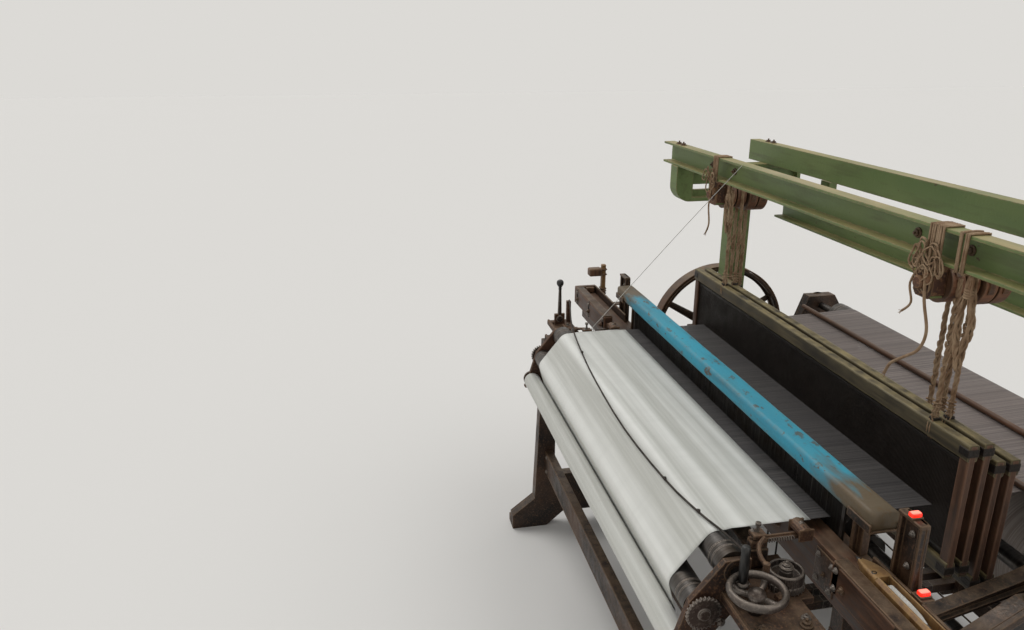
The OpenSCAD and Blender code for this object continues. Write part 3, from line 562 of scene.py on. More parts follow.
# A turned shape: (radius, height) pairs spun about an axis through a place
def addTurned(bm, profile, place, axis="Z", sides=48):
    turn = {"X": Matrix.Rotation(math.pi / 2, 4, "Y"), "Y": Matrix.Rotation(-math.pi / 2, 4, "X"),
            "Z": Matrix()}
    shape = Matrix.Translation(place) @ turn[axis]
    rings = []
    for radius, height in profile:
        spin = [2 * math.pi * k / sides for k in range(sides)] if radius > 1e-6 else [0]
        ring = [shape @ Vector((radius * math.cos(a), radius * math.sin(a), height)) for a in spin]
        rings.append([bm.verts.new(place) for place in ring])
    for a, b in zip(rings, rings[1:]):
        for k in range(sides):
            corners = [a[k % len(a)], a[(k + 1) % sides % len(a)], b[(k + 1) % sides % len(b)], b[k % len(b)]]
            corners = list(dict.fromkeys(corners))
            if len(corners) > 2:
                bm.faces.new(corners)


# A plain round bar, and a turned shape whose outline closes on itself
def addRod(bm, radius, start, end, place, axis="Z", sides=24):
    addTurned(bm, [(0, start), (radius, start), (radius, end), (0, end)], place, axis, sides)


def addRing(bm, profile, place, axis="X", sides=48):
    addTurned(bm, profile + [profile[0]], place, axis, sides)


# A square section with cut corners, as shares of its half sizes
def cutCorners(a, b):
    return ((-1, -b), (-a, -1), (a, -1), (1, -b), (1, b), (a, 1), (-a, 1), (-1, b))


def closeMesh(bm):
    bmesh.ops.remove_doubles(bm, verts=bm.verts, dist=1e-6)
    bmesh.ops.recalc_face_normals(bm, faces=bm.faces)


# A mesh closed, made an object and tied to its body; it takes the place of a CAD object where one is named
def finishPiece(name, bm, finish, body, instead=None, smooth=False):
    closeMesh(bm)
    piece = meshPiece(name, bm, finish, smooth=smooth)
    if instead:
        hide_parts(instead)
    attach(piece, body)
    return piece


# A part repeated over a span along X, as one piece tied to its body
def finishRow(name, bm, finish, body, s, start, span, instead=None, smooth=False):
    piece = meshPiece(name, bm, finish, smooth=smooth)
    bakeTree(piece, rowTree(finish),
             {"Count": s["count"], "Start": (start, 0, 0), "Step": (span / (s["count"] - 1), 0, 0)})
    if instead:
        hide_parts(instead)
    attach(piece, body)


# The sign of X and the name of each end
bothEnds = ((1, "Near"), (-1, "Far"))


# Fractions from 0 to 1 and angles round a circle, both ends included
def parts(count):
    return [k / count for k in range(count + 1)]


def circle(count):
    return [2 * math.pi * k / count for k in range(count + 1)]


# Centre of a CAD piece's box, half its size along an axis, and a place taken down to z = 0
def middle(node):
    low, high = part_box(node)
    return (Vector(low) + Vector(high)) / 2


def halfSize(node, axis):
    low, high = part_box(node)
    return (high[axis] - low[axis]) / 2


def flat(place):
    return Vector((place.x, place.y, 0))


# Radius and (y, z) centre of a roller, measured back from the high corner of its box
def rollerOf(node):
    radius, high = halfSize(node, 1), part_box(node)[1]
    return radius, (high[1] - radius, high[2] - radius)


# The CAD sizes that the pieces share
clothHalf = -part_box("cloth")[0][0]
guideRadius, guideCentre = rollerOf("guide_roller")
takeUpRadius, takeUpCentre = rollerOf("take_up_roller")
rollRadius, rollCentre = rollerOf("cloth_roll")
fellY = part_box("cloth")[1][1]
healdTops = [1.090, 1.090, 1.046, 1.046]  # tops of the upper staves, front to back
shelfTop = 0.8155  # top of the iron shelf at the take-up end
crankPlace, motorShaft = (0.115, 0.740), (0.500, 0.200)  # (y, z)
healdBodies = ("healds_front", "healds_front", "healds_back", "healds_back")


# Angle at which a flat stretch leaves one circle for the next; reach is the sum or difference of radii
def leaveAngle(a, b, reach):
    away = Vector(b) - Vector(a)
    return math.atan2(away.y, away.x) - math.acos(reach / away.length) + 2 * math.pi


def arcPoints(centre, radius, start, end, count):
    return [(centre[0] + radius * math.cos(start + (end - start) * k / count),
             centre[1] + radius * math.sin(start + (end - start) * k / count)) for k in range(count + 1)]


# The cloth from the fell, over the guide roller and the take-up roller: pulled tight, with curled selvedges
clothPiece = {"columns": 96, "flatRows": 14, "lift": 0.9 * mm, "thickness": 1.0 * mm, "curl": 2.2 * mm,
              "selvedge": 0.03, "ripple": 0.35 * mm}


def makeCloth(s):
    guideRun, takeRun, rollRun = guideRadius + s["lift"], takeUpRadius + s["lift"], rollRadius + s["lift"]
    over = leaveAngle(guideCentre, takeUpCentre, guideRun - takeRun)
    off = leaveAngle(takeUpCentre, rollCentre, takeRun + rollRun)
    top, last = guideCentre[1] + guideRun, s["flatRows"] - 1
    line = [(fellY + (guideCentre[0] - fellY) * k / s["flatRows"], top) for k in range(s["flatRows"])]
    line += arcPoints(guideCentre, guideRun, math.pi / 2, over, 16)
    line += arcPoints(takeUpCentre, takeRun, over, off, 16)
    line += [(rollCentre[0] - rollRun * math.cos(off), rollCentre[1] - rollRun * math.sin(off))]
    bm, rows = bmesh.new(), []
    for i, (y, z) in enumerate(line):
        rows.append([])
        for k in range(s["columns"] + 1):
            x = clothHalf * (2 * k / s["columns"] - 1)
            edge = max(0, (abs(x) - clothHalf + s["selvedge"]) / s["selvedge"])
            wave = s["ripple"] * (math.sin(x * 61 + i * 0.5)
                                  + 0.6 * math.sin(x * 23 - i * 0.9)) if i < last else 0
            curl = s["curl"] * edge ** 2 if 1 < i < last else 0
            rows[-1].append(bm.verts.new((x, y, z + wave * min(i, last - i) / 6 + curl)))
    for a, b in zip(rows, rows[1:]):
        for k in range(s["columns"]):
            bm.faces.new((a[k], a[k + 1], b[k + 1], b[k]))
    closeMesh(bm)
    cloth = meshPiece("wovenCloth", bm, "cloth")
    solid = cloth.modifiers.new("thickness", "SOLIDIFY")
    solid.thickness = s["thickness"]
    solid.offset = 0
    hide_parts("cloth")
    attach(cloth, "frame")


makeCloth(clothPiece)
print("cloth made")


# Warp threads side by side, over the back rest and down to the beam
warpPiece = {"count": 470, "width": 2.5 * mm, "thickness": 0.5 * mm, "lift": 0.8 * mm}


def makeWarp(s):
    shed, roller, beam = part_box("warp_shed"), halfSize("back_rest_roller", 2), middle("warp_yarn").yz
    rest = Vector(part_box("back_rest_roller")[1]).yz - Vector((roller, roller))
    top = shed[1][2] - s["thickness"]
    run, beamRun = (halfSize(node, 2) + s["lift"] for node in ("back_rest_roller", "warp_yarn"))
    away = beam - rest
    leave = math.atan2(away.y, away.x) + math.acos((run - beamRun) / away.length)
    overRest = [(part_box("warp_sheet")[0][1], top)] + arcPoints(rest, run, math.pi / 2, leave, 8)
    overRest += [beam + beamRun * Vector((math.cos(leave), math.sin(leave)))]
    half, edge = s["width"] / 2, clothHalf - 3 * mm
    for node, name, finish, line in (("warp_sheet", "warpOverBackRest", "warp", overRest),
                                     ("warp_shed", "warpAtTheReed", "shed",
                                      [(shed[1][1], top), (shed[0][1], top)])):
        bm = bmesh.new()
        up = [bm.verts.new((half * k, y, z + s["thickness"] / 2 * (k == 0))) for y, z in line
              for k in (-1, 0, 1)]
        for i in range(len(line) - 1):
            for k in range(2):
                bm.faces.new((up[3 * i + k], up[3 * i + k + 1], up[3 * i + k + 4], up[3 * i + k + 3]))
        bmesh.ops.recalc_face_normals(bm, faces=bm.faces)
        finishRow(name, bm, finish, "frame", s, -edge, 2 * edge, instead=node, smooth=True)


makeWarp(warpPiece)
print("warp drawn in")


# Heald wires between the staves, close enough to look like a dark curtain
healdPiece = {"count": 330, "wire": 2.2 * mm, "reach": (0.287, 0.038), "span": 1.32,
              "shifts": (0, 1.9 * mm, 1.0 * mm, 2.9 * mm)}


def makeHealdWires(s):
    half, (foot, head) = s["wire"] / 2, s["reach"]
    for k, body in enumerate(healdBodies):  # neighbouring shafts' wires stand in each other's gaps
        y, top, bm = middle(f"heald_{k + 1}").y, healdTops[k], bmesh.new()
        addBlock(bm, (-half, y - half, top - foot), (half, y + half, top - head))
        finishRow(f"healdWires{k + 1}", bm, "wire", body, s, s["shifts"][k] - s["span"] / 2, s["span"])


makeHealdWires(healdPiece)


# Flat steel dents of the reed
reedPiece = {"count": 420, "dent": 0.7 * mm, "beyond": 30 * mm}


def makeReedDents(s):
    (low, high), half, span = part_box("reed"), s["dent"] / 2, 2 * (clothHalf + s["beyond"])
    bm = bmesh.new()
    addBlock(bm, (-half, low[1] + 0.5 * mm, low[2] + 8 * mm), (half, high[1] - 0.5 * mm, high[2] - 8 * mm))
    finishRow("reedDents", bm, "steel", "sley", s, -span / 2, span)


makeReedDents(reedPiece)
print("healds and reed filled")


# Hexagon bolts with washers on points; each point carries the turn that lays its bolt on its face
def boltTree(finish):
    tree, given, result = newTree("bolts_" + finish,
                                  {"Radius": "NodeSocketFloat", "Height": "NodeSocketFloat"})
    radius, height = given.outputs["Radius"], given.outputs["Height"]
    wide, thin = maths(tree, "MULTIPLY", radius, 1.45), maths(tree, "MULTIPLY", height, 0.35)
    head = addNode(tree, "GeometryNodeMeshCylinder", None, Vertices=6, Radius=radius, Depth=height)
    washer = addNode(tree, "GeometryNodeMeshCylinder", None, Vertices=18, Radius=wide, Depth=thin)
    stud = addNode(tree, "GeometryNodeMeshCylinder", None, Vertices=10, Radius=thin, Depth=height)
    lift = addNode(tree, "ShaderNodeCombineXYZ", None, Z=thin)
    raised = addNode(tree, "GeometryNodeTransform", None, Geometry=head.outputs[0],
                     Translation=lift.outputs[0])
    tip = addNode(tree, "ShaderNodeCombineXYZ", None, Z=height)
    end = addNode(tree, "GeometryNodeTransform", None, Geometry=stud.outputs[0], Translation=tip.outputs[0])
    bolt = addNode(tree, "GeometryNodeJoinGeometry")
    for part in (washer, raised, end):
        tree.links.new(part.outputs[0], bolt.inputs[0])
    turn = addNode(tree, "GeometryNodeInputNamedAttribute", {"data_type": "FLOAT_VECTOR"}, Name="turn")
    copies = addNode(tree, "GeometryNodeInstanceOnPoints", None, Points=given.outputs["Geometry"],
                     Instance=bolt.outputs[0])
    tree.links.new(turn.outputs[0], copies.inputs["Rotation"])
    return endTree(tree, copies, result, finish)


boltTurns = {"+Z": (0, 0, 0.3), "-Z": (math.pi, 0, 0.2), "+X": (0.2, math.pi / 2, 0),
             "-X": (0.4, -math.pi / 2, 0), "+Y": (-math.pi / 2, 0.3, 0), "-Y": (math.pi / 2, 0.1, 0)}


def placeBolts(name, body, finish, radius, height, spots):
    mesh = bpy.data.meshes.new(name)
    mesh.from_pydata([place for place, side in spots], [], [])
    turns = mesh.attributes.new("turn", "FLOAT_VECTOR", "POINT")
    turns.data.foreach_set("vector", [value for place, side in spots for value in boltTurns[side]])
    bolts = bpy.data.objects.new(name, mesh)
    scene.collection.objects.link(bolts)
    bakeTree(bolts, boltTree(finish), {"Radius": radius, "Height": height})
    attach(bolts, body)


# Faces of the near side frame and of the front girder, to place what is bolted on
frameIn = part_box("side_frame_right")[0][0]
frameOut = frameIn + 0.035
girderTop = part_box("front_girder")[1][2]
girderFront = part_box("front_girder")[0][1]


# Bolts of the frame, the overhead girders and the sley: (y, z), y or x of each, mirrored to the other end
boltPiece = {"outside": ((-0.635, 0.70), (-0.635, 0.29), (0.615, 0.145), (0.20, 0.70), (0.03, 0.70),
                         (-0.03, 0.62), (0.23, 0.62)),
             "caps": (-0.03, 0.03, 0.17, 0.22), "capTop": 0.801, "feet": (-0.72, 0.72), "footTop": 0.033,
             "shelf": (-0.62, -0.53), "inset": 0.018, "flanges": (0.83, 0.87), "backFlange": 0.212,
             "armFace": 0.882, "armHoles": ((0.02, 0.27), (1.33, 1.42)),
             "hangers": (-0.60, -0.44, 0.44, 0.60), "beam": (-0.69, -0.50, -0.2, 0.2, 0.50, 0.69),
             "boxes": (0.79, 0.95, 1.11), "swords": (0.90, 0.94)}


def makeBolts(s):
    frames, girders, inset = [], [], s["inset"]
    for side, face in ((-1, "-X"), (1, "+X")):
        frames += [((side * (frameOut + 1 * mm), y, z), face) for y, z in s["outside"]]
        frames += [((side * (frameIn + inset), y, s["capTop"]), "+Z") for y in s["caps"]]
        frames += [((side * (frameOut + 0.02), y, s["footTop"]), "+Z") for y in s["feet"]]
        frames += [((side * (frameIn + inset), y, shelfTop + 1 * mm), "+Z") for y in s["shelf"]]
        girders += [((side * x, y, girderTop + 0.5 * mm), "+Z")
                    for y in (girderFront + inset, s["backFlange"]) for x in s["flanges"]]
        girders += [((side * s["armFace"], y, z), face) for z in s["armHoles"][1] for y in s["armHoles"][0]]
    girders += [((x, girderFront + 32 * mm, girderTop - 0.037), "-Y") for x in s["hangers"]]
    sley = [((x, -0.415, 0.82), "-Y") for x in s["beam"]]
    sley += [((side * x, -0.446, 0.86), "-Y") for side in (-1, 1) for x in s["boxes"]]
    sley += [((side * 0.685, -0.333, z), "+Y") for side in (-1, 1) for z in s["swords"]]
    for name, body, size, spots in (("frameBolts", "frame", 9 * mm, frames),
                                    ("girderBolts", "frame", 8 * mm, girders),
                                    ("sleyBolts", "sley", 6 * mm, sley)):
        placeBolts(name, body, "iron", size, size, spots)


makeBolts(boltPiece)
print("bolts set")


# Hand rail over the reed: a rounded wooden rail, painted over and over, in two iron end sockets
capPiece = {"round": 9 * mm, "height": 40 * mm, "socketLength": 0.075, "socketWall": 4 * mm,
            "post": (0.667, 0.703), "web": (0.681, 0.689), "foot": 0.8652}


def roundedSection(width, height, radius, steps=5):
    y, z = width / 2 - radius, height / 2 - radius
    turns = [math.radians(90 * k / steps) for k in range(steps + 1)]
    return [(a + radius * math.cos(start + t), b + radius * math.sin(start + t))
            for a, b, start in ((y, z, 0), (-y, z, math.pi / 2), (-y, -z, math.pi), (y, -z, 3 * math.pi / 2))
            for t in turns]


def addBeam(bm, section, stations):
    addLoft(bm, [[(x, y + sy * scale, z + sz * scale) for sy, sz in section] for x, y, z, scale in stations])


def makeReedCap(s):
    low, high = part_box("reed_cap")
    y, top, height, wall = (low[1] + high[1]) / 2, high[2], s["height"], s["socketWall"]
    rail, sockets = bmesh.new(), bmesh.new()
    ends = [low[0] + 4 * mm + (high[0] - low[0] - 8 * mm) * t for t in parts(60)]
    worn = [(x, y + 0.4 * mm * math.sin(x * 17), top - height / 2 + 0.3 * mm * math.sin(x * 9), 0.985)
            for x in ends]
    addBeam(rail, roundedSection(high[1] - low[1], height, s["round"]), worn)
    finishPiece("reedHandRail", rail, "teal", "sley", "reed_cap", smooth=True)
    inner, base, lip = high[0] - s["socketLength"], top - height - wall, top - height * 0.62
    for side in (-1, 1):
        addSided(sockets, side, (inner, low[1] - wall / 2, base),
                 (high[0], high[1] + wall / 2, top - height + 1 * mm), 1.5 * mm)
        addSided(sockets, side, (inner, low[1] - wall, base), (high[0], low[1] + 1 * mm, lip), 1.2 * mm)
        addSided(sockets, side, (inner, high[1] - 1 * mm, base), (high[0], high[1] + wall, lip), 1.2 * mm)
        for (x0, x1), front, back in ((s["post"], 0.020, 0.001), (s["web"], 0.032, 0.018)):
            addSided(sockets, side, (x0, high[1] - front, s["foot"]), (x1, high[1] - back, top - height))
    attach(meshPiece("reedRailSockets", sockets, "iron", smooth=False), "sley")


makeReedCap(capPiece)


# Take-up handwheel: dished cast wheel with a round rim, four spokes and a tall black grip
wheelPiece = {"rim": 7 * mm, "spokeWidth": 15 * mm,
              "hub": ((0, 0.8665), (9 * mm, 0.8665), (9 * mm, 0.862), (17 * mm, 0.860), (19 * mm, 0.852),
                      (15 * mm, 0.846), (15 * mm, 0.816), (0, 0.816))}


def makeHandwheel(s):
    centre, radius, rim = flat(middle("handwheel")), halfSize("handwheel", 0), s["rim"]
    bm = bmesh.new()
    turns = [math.radians(a) for a in range(0, 361, 20)]
    addTurned(bm, [(radius - rim + rim * math.cos(a), 0.863 + 9 * mm * math.sin(a)) for a in turns], centre,
              sides=64)
    addTurned(bm, s["hub"], centre, sides=32)
    half = s["spokeWidth"] / 2
    for k in range(4):
        turn = Matrix.Translation(centre) @ Matrix.Rotation(math.radians(90 * k + 45), 4, "Z")
        addLoft(bm, [[turn @ Vector((x, w * sy, z + sz * 4 * mm))
                      for sy, sz in ((-1, -1), (1, -1), (0.75, 1), (-0.75, 1))]
                     for x, z, w in ((0.014, 0.850, half * 0.8), (0.036, 0.848, half * 0.7),
                                     (radius - rim, 0.858, half))])
    spot = flat(middle("crank_handle"))
    addRod(bm, 13 * mm, 0.8515, 0.858, spot, sides=20)
    finishPiece("takeUpHandwheel", bm, "wornIron", "handwheel", "handwheel", smooth=True)
    bm = bmesh.new()
    low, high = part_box("crank_handle")
    base, top = low[2] + 1 * mm, high[2]
    grip = [(r * mm, base + h * mm) for r, h in ((0, 0), (7.5, 0), (7.5, 8), (9.5, 12), (9.8, 40))]
    grip += [(r * mm, top - h * mm) for r, h in ((8.8, 16), (9.6, 8), (8, 2), (4, 0), (0, 0))]
    addTurned(bm, grip, spot, sides=28)
    finishPiece("handwheelGrip", bm, "phenolic", "handwheel", "crank_handle", smooth=True)


makeHandwheel(wheelPiece)


# Ratchet drum beside the wheel: a cast cup with teeth and a centre nut
ratchetPiece = {"teeth": 24, "base": 0.8155, "top": 0.856}


def makeRatchet(s):
    centre, radius = flat(middle("ratchet_wheel")), halfSize("ratchet_wheel", 0)
    base, top = s["base"], s["top"]
    bm = bmesh.new()
    addTurned(bm, [(0, base), (radius - 5 * mm, base), (radius - 4 * mm, top - 2 * mm),
                   (radius - 6 * mm, top), (radius - 9 * mm, top), (radius - 10 * mm, top - 14 * mm),
                   (14 * mm, top - 16 * mm), (13 * mm, top - 2 * mm), (8 * mm, top - 1 * mm),
                   (8 * mm, top + 4 * mm), (0, top + 4 * mm)], centre)
    for k in range(s["teeth"]):
        a, b = 2 * math.pi * k / s["teeth"], 2 * math.pi * (k + 0.75) / s["teeth"]
        addLoft(bm, [[(centre.x + r * math.cos(t), centre.y + r * math.sin(t), z)
                      for r, t in ((radius - 6 * mm, a), (radius, a), (radius - 5 * mm, b))]
                     for z in (base + 1 * mm, base + 15 * mm)])
    finishPiece("ratchetDrum", bm, "wornIron", "ratchet_wheel", "ratchet_wheel")
    placeBolts("ratchetNut", "ratchet_wheel", "wornIron", 10 * mm, 9 * mm,
               [((centre.x, centre.y, top + 4 * mm), "+Z")])


makeRatchet(ratchetPiece)


# A round tube along a line, added to a bmesh
def addTube(bm, line, radius, sides=6):
    rings = []
    for i, place in enumerate(line):
        ahead = (line[min(i + 1, len(line) - 1)] - line[max(i - 1, 0)]).normalized()
        across = ahead.cross(Vector((0.31, 0.17, 0.93))).normalized()
        up = ahead.cross(across)
        rings.append([place + radius * (math.cos(a) * across + math.sin(a) * up) for a in circle(sides)[:-1]])
    addLoft(bm, rings)


# Red warning lamps at the near end of the sley: a moulded bar lens in an iron tray, with its wire
lampPiece = {"size": (14 * mm, 24 * mm, 12 * mm), "places": ((0.827, -0.344, 1.036), (0.888, -0.349, 0.909)),
             "tray": 2 * mm, "wire": ((-9, 4, 2), (-13, 8, 1), (-15, 11, -8), (-15, 12, -26), (-16, 12, -40))}


def makeLamps(s):
    lens, tray = bmesh.new(), bmesh.new()
    wide, deep, tall = s["size"]
    rim = s["tray"] + wide / 2
    for x, y, z in s["places"]:
        addBlock(lens, (x - wide / 2, y - deep / 2 + 1 * mm, z + 0.4 * mm),
                 (x + wide / 2, y + deep / 2 - 1 * mm, z + tall), 4 * mm, 4)
        addBlock(tray, (x - rim, y - deep / 2, z), (x + rim, y + deep / 2, z + 4 * mm), 1 * mm)
        addTube(tray, [Vector((x, y, z)) + Vector(bend) * mm for bend in s["wire"]], 1.6 * mm)
    finishPiece("warningLamps", lens, "lens", "sley", "box_lamps", smooth=True)
    finishPiece("lampTrays", tray, "iron", "sley", smooth=True)


makeLamps(lampPiece)
print("hand wheel, ratchet and lamps made")


# Straps from the drums: leather over the drum, tied to the stave with cotton cord
strapPiece = {"width": 14 * mm, "turns": 14}


def makeStraps(s):
    random.seed(5)
    hub = middle("heald_drum_right")
    for side, name in bothEnds:
        wraps = bmesh.new()
        for k in range(4):
            y = middle(f"heald_{k + 1}").y
            radius, sign = (0.046, 1) if k < 2 else (0.056, -1)
            near, far, half = radius + 0.4 * mm, radius + 3.2 * mm, s["width"] / 2
            addLoft(wraps, [[(side * hub.x + sign * r * math.cos(a), y + w, hub.z + r * math.sin(a))
                             for r, w in ((near, -half), (far, -half), (far, half), (near, half))]
                            for a in [math.radians(24 + 176 * t) for t in parts(s["turns"])]])
            addTurned(wraps, [(0, y - 15.6 * mm), (radius + 0.2 * mm, y - 15.6 * mm),
                              (radius + 0.2 * mm, y - 14 * mm)],
                      Vector((side * hub.x, 0, hub.z)), "Y", 40)
        finishPiece("drumStraps" + name, wraps, "leather", "drum_right" if side > 0 else "drum_left")
    for body, name, group in (("healds_front", "Front", (0, 1)), ("healds_back", "Back", (2, 3))):
        ties = bmesh.new()
        for side in (-1, 1):
            for k in group:
                y, stave = middle(f"heald_{k + 1}").y, healdTops[k]
                x = side * hub.x + (0.0478 if k < 2 else -0.0578)
                for loop in range(4):  # cord round the strap's foot and under the stave
                    place = Vector((x, y, stave + 0.012 + loop * 9 * mm))
                    ring = [(5.5 * math.cos(t), 9.5 * math.sin(t), 1.5 * math.sin(t + loop))
                            for t in circle(12)]
                    addTube(ties, [place + Vector(p) * mm for p in ring], 1.8 * mm)
                for loop in (-1, 1):
                    place = Vector((x + loop * 4 * mm, y, stave - 0.018))
                    ring = [(0, 11.5 * math.cos(t), 26 * math.sin(t)) for t in circle(16)]
                    addTube(ties, [place + Vector(p) * mm for p in ring], 1.8 * mm)
                tail = [Vector((x + 6 * mm, y - 6 * mm, stave + 0.036))]
                for j in range(6):
                    sway = random.uniform(-0.004, 0.006), random.uniform(-0.003, 0.001)
                    tail.append(tail[-1] + Vector((*sway, -0.008 - 0.001 * j)))
                addTube(ties, tail, 1.3 * mm)
        finishPiece("staveTies" + name, ties, "cord", body, smooth=True)


makeStraps(strapPiece)
print("straps tied")


# Cotton cord wound round the front girder at each hanger, with slack loops, frayed tails and skeins
bundlePiece = {
    "near": 0.54, "far": -0.50, "cordRadius": 2.6 * mm, "winds": 7,
    "tails": (([(0.535, -0.172, 1.425), (0.548, -0.174, 1.360), (0.572, -0.176, 1.300),
                (0.560, -0.178, 1.255), (0.520, -0.180, 1.222), (0.488, -0.182, 1.196),
                (0.470, -0.180, 1.165)], 3.4 * mm),
              ([(0.515, -0.170, 1.430), (0.500, -0.176, 1.385), (0.512, -0.176, 1.345),
                (0.488, -0.176, 1.318)], 2.6 * mm),
              ([(-0.505, -0.172, 1.430), (-0.512, -0.176, 1.360), (-0.500, -0.176, 1.300),
                (-0.520, -0.176, 1.262)], 2.8 * mm)),
    "skeins": (((0.640, -0.150, 1.438), 0.195, 9), ((-0.420, -0.150, 1.438), 0.150, 6)),
}


def makeCordBundles(s):
    random.seed(21)
    bm = bmesh.new()
    low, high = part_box("front_girder")
    front, back = low[1] - 3 * mm, high[1] + 3 * mm
    top, base = high[2] + 3 * mm, high[2] - 0.078
    loop = [(front, base), (front, top), (back, top), (back, base), (front, base)]
    for place, spread in ((s["near"], 1.0), (s["near"] + 0.085, 0.6), (s["far"], 0.8)):
        for wind in range(int(s["winds"] * spread)):
            x = place + (wind - 3) * 6.5 * mm + random.uniform(-2, 2) * mm
            slant = random.uniform(-9, 9) * mm
            route = [(y0 + (y1 - y0) * t, z0 + (z1 - z0) * t) for (y0, z0), (y1, z1) in zip(loop, loop[1:])
                     for t in parts(4)[:-1]]
            addTube(bm, [Vector((x + slant * k / 16, y, z)) for k, (y, z) in enumerate(route + loop[-1:])],
                    s["cordRadius"])
    for place, count in ((s["near"], 12), (s["near"] + 0.03, 6), (s["far"], 8)):
        for k in range(count):  # slack loops bulge in front of the hanger, each in its own plane
            centre = Vector((place + random.uniform(-0.045, 0.015), front - random.uniform(0.004, 0.014),
                             base + random.uniform(-0.015, 0.045)))
            wide, tall = random.uniform(0.006, 0.016), random.uniform(0.024, 0.062)
            lean, turn = random.uniform(-0.9, 0.5), random.uniform(-0.5, 0.5)
            line = []
            for a in circle(24):
                across = wide * math.sin(a) * (1 + 0.5 * math.sin(2 * a + k))
                down = -tall * (1 - math.cos(a)) / 2
                line.append(centre + Vector((across * math.cos(lean) - down * math.sin(lean),
                                             turn * across * 0.5,
                                             across * math.sin(lean) + down * math.cos(lean))))
            addTube(bm, line, s["cordRadius"] * random.uniform(0.6, 0.95))
    for name, (route, radius) in zip(("Long", "Short", "Far"), s["tails"]):
        line = smoothRoute(route, 6)
        tail = cordCurve("girderTail" + name, line, radius, "cord")
        fray = bmesh.new()
        end, before = line[-1], line[-3]
        for k in range(7):  # the end frays into threads
            spread = Vector((random.uniform(-1, 1), random.uniform(-0.4, 0.4),
                             random.uniform(-1, 0.6))) * 7 * mm
            addTube(fray, [before, end, end + (end - before) * 0.6 + spread], 0.7 * mm, 5)
        threads = finishPiece("tailFray" + name, fray, "cord", "frame")
        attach(tail, "frame")
    for place, drop, strands in s["skeins"]:
        for k in range(strands):  # a skein: long loops side by side, gathered near the top
            phase = random.uniform(-1, 1)
            line = []
            for a in circle(40):
                sink = (1 - math.cos(a)) / 2
                belly = 4 + 13 * math.sin(math.pi * sink) ** 2
                swing = belly * math.sin(a) + 3 * phase + 3 * math.sin(14 * sink + k)
                fall = -(drop / mm + 6 * phase) * sink
                line.append(Vector(place) + mm * Vector((swing, 5 * math.cos(11 * sink + 2 * k), fall)))
            addTube(bm, line, s["cordRadius"] * 0.95)
        for k in range(4):
            ring = [Vector(place) + mm * Vector((11 * math.cos(a), 8 * math.sin(a), -30 - k * 5))
                    for a in circle(12)]
            addTube(bm, ring, s["cordRadius"])
    finishPiece("girderCordWindings", bm, "cord", "frame", smooth=True)


makeCordBundles(bundlePiece)
print("cord bundles wound")


# Shafts: two planed staves, two dark end boards, iron bars that carry the healds, hooks, cords and a pull rod
shaftPiece = {"half": 0.690, "stave": (24 * mm, 40 * mm), "height": 0.325, "end": 26 * mm, "hooks": 5,
              "rodX": 0.030, "drumX": 0.520, "drumZ": 1.392, "drums": (0.0463, 0.0563),
              "strap": (3 * mm, 14 * mm)}


def makeShafts(s):
    random.seed(9)
    half, (deep, tall), (thick, wide) = s["half"], s["stave"], s["strap"]
    for k, body in enumerate(healdBodies, 1):
        top, y, ahead = healdTops[k - 1], middle(f"heald_{k}").y, k < 3
        base = top - s["height"]
        wood, ends, iron, straps = bmesh.new(), bmesh.new(), bmesh.new(), bmesh.new()
        staves = top - tall / 2, base + tall / 2
        for z in staves:  # each stave is planed by hand, so it wanders a little
            line = [(half * (2 * t - 1), y + random.uniform(-0.5, 0.5) * mm,
                     z + random.uniform(-0.6, 0.6) * mm, 0.96)
                    for t in parts(40)]
            addBeam(wood, roundedSection(deep, tall, 4 * mm, 3), line)
        for side in (-1, 1):
            inner, outer = half - s["end"], half + 0.5 * mm
            addSided(ends, side, (inner, y - 8 * mm, base + 4 * mm), (outer, y + 8 * mm, top - 3 * mm),
                     2.5 * mm)
            for z in staves:
                addSided(iron, side, (inner - 1 * mm, y - deep / 2 - 1 * mm, z - 9 * mm),
                         (outer + 1 * mm, y + deep / 2 + 1 * mm, z + 9 * mm), 1 * mm)
        for z, up in ((top - tall - 12 * mm, 1), (base + tall + 12 * mm, -1)):
            addBlock(iron, (-0.668, y - 1.5 * mm, z - 4 * mm), (0.668, y + 1.5 * mm, z + 4 * mm), 0.6 * mm, 1)
            a, b = sorted((z, z + up * 20 * mm))
            for t in parts(s["hooks"] - 1):
                x = -0.56 + 1.12 * t
                addBlock(iron, (x - 5 * mm, y - 3 * mm, a), (x + 5 * mm, y + 3 * mm, b), 0.8 * mm, 1)
        rod = Vector((-s["rodX"] if ahead else s["rodX"], y, 0))
        addRod(iron, 3 * mm, 0.177, base + 1 * mm, rod, sides=12)
        addRod(iron, 7 * mm, base - 18 * mm, base + 1 * mm, rod, sides=6)
        for side in (-1, 1):
            x = side * s["drumX"] + (s["drums"][0] if ahead else -s["drums"][1] - thick)
            for strand in range(3):  # three strands laid up by hand, loose enough to bulge
                line = []
                for t in parts(60):
                    a = 2 * math.pi * (strand / 3 + 5.5 * t) + random.uniform(-0.25, 0.25)
                    wander = 1 + 0.35 * math.sin(9 * t + strand + k)
                    line.append(Vector((x + thick / 2 + thick * 0.8 * math.cos(a) * wander,
                                        y + wide * 0.3 * math.sin(a) * wander,
                                        top - 1 * mm + (s["drumZ"] + 18 * mm - top) * t)))
                addTube(straps, line, thick * 1.05)
            addBlock(iron, (x - 6 * mm, y - 9 * mm, top - 2 * mm),
                     (x + thick + 6 * mm, y + 9 * mm, top + 6 * mm), 1.2 * mm)
        finishPiece(f"shaftStaves{k}", wood, "stave", body, f"heald_{k}")
        finishPiece(f"shaftEnds{k}", ends, "staveEnd", body)
        finishPiece(f"shaftIron{k}", iron, "wire", body)
        finishPiece(f"shaftCords{k}", straps, "cord", body)


makeShafts(shaftPiece)
print("heald shafts made")


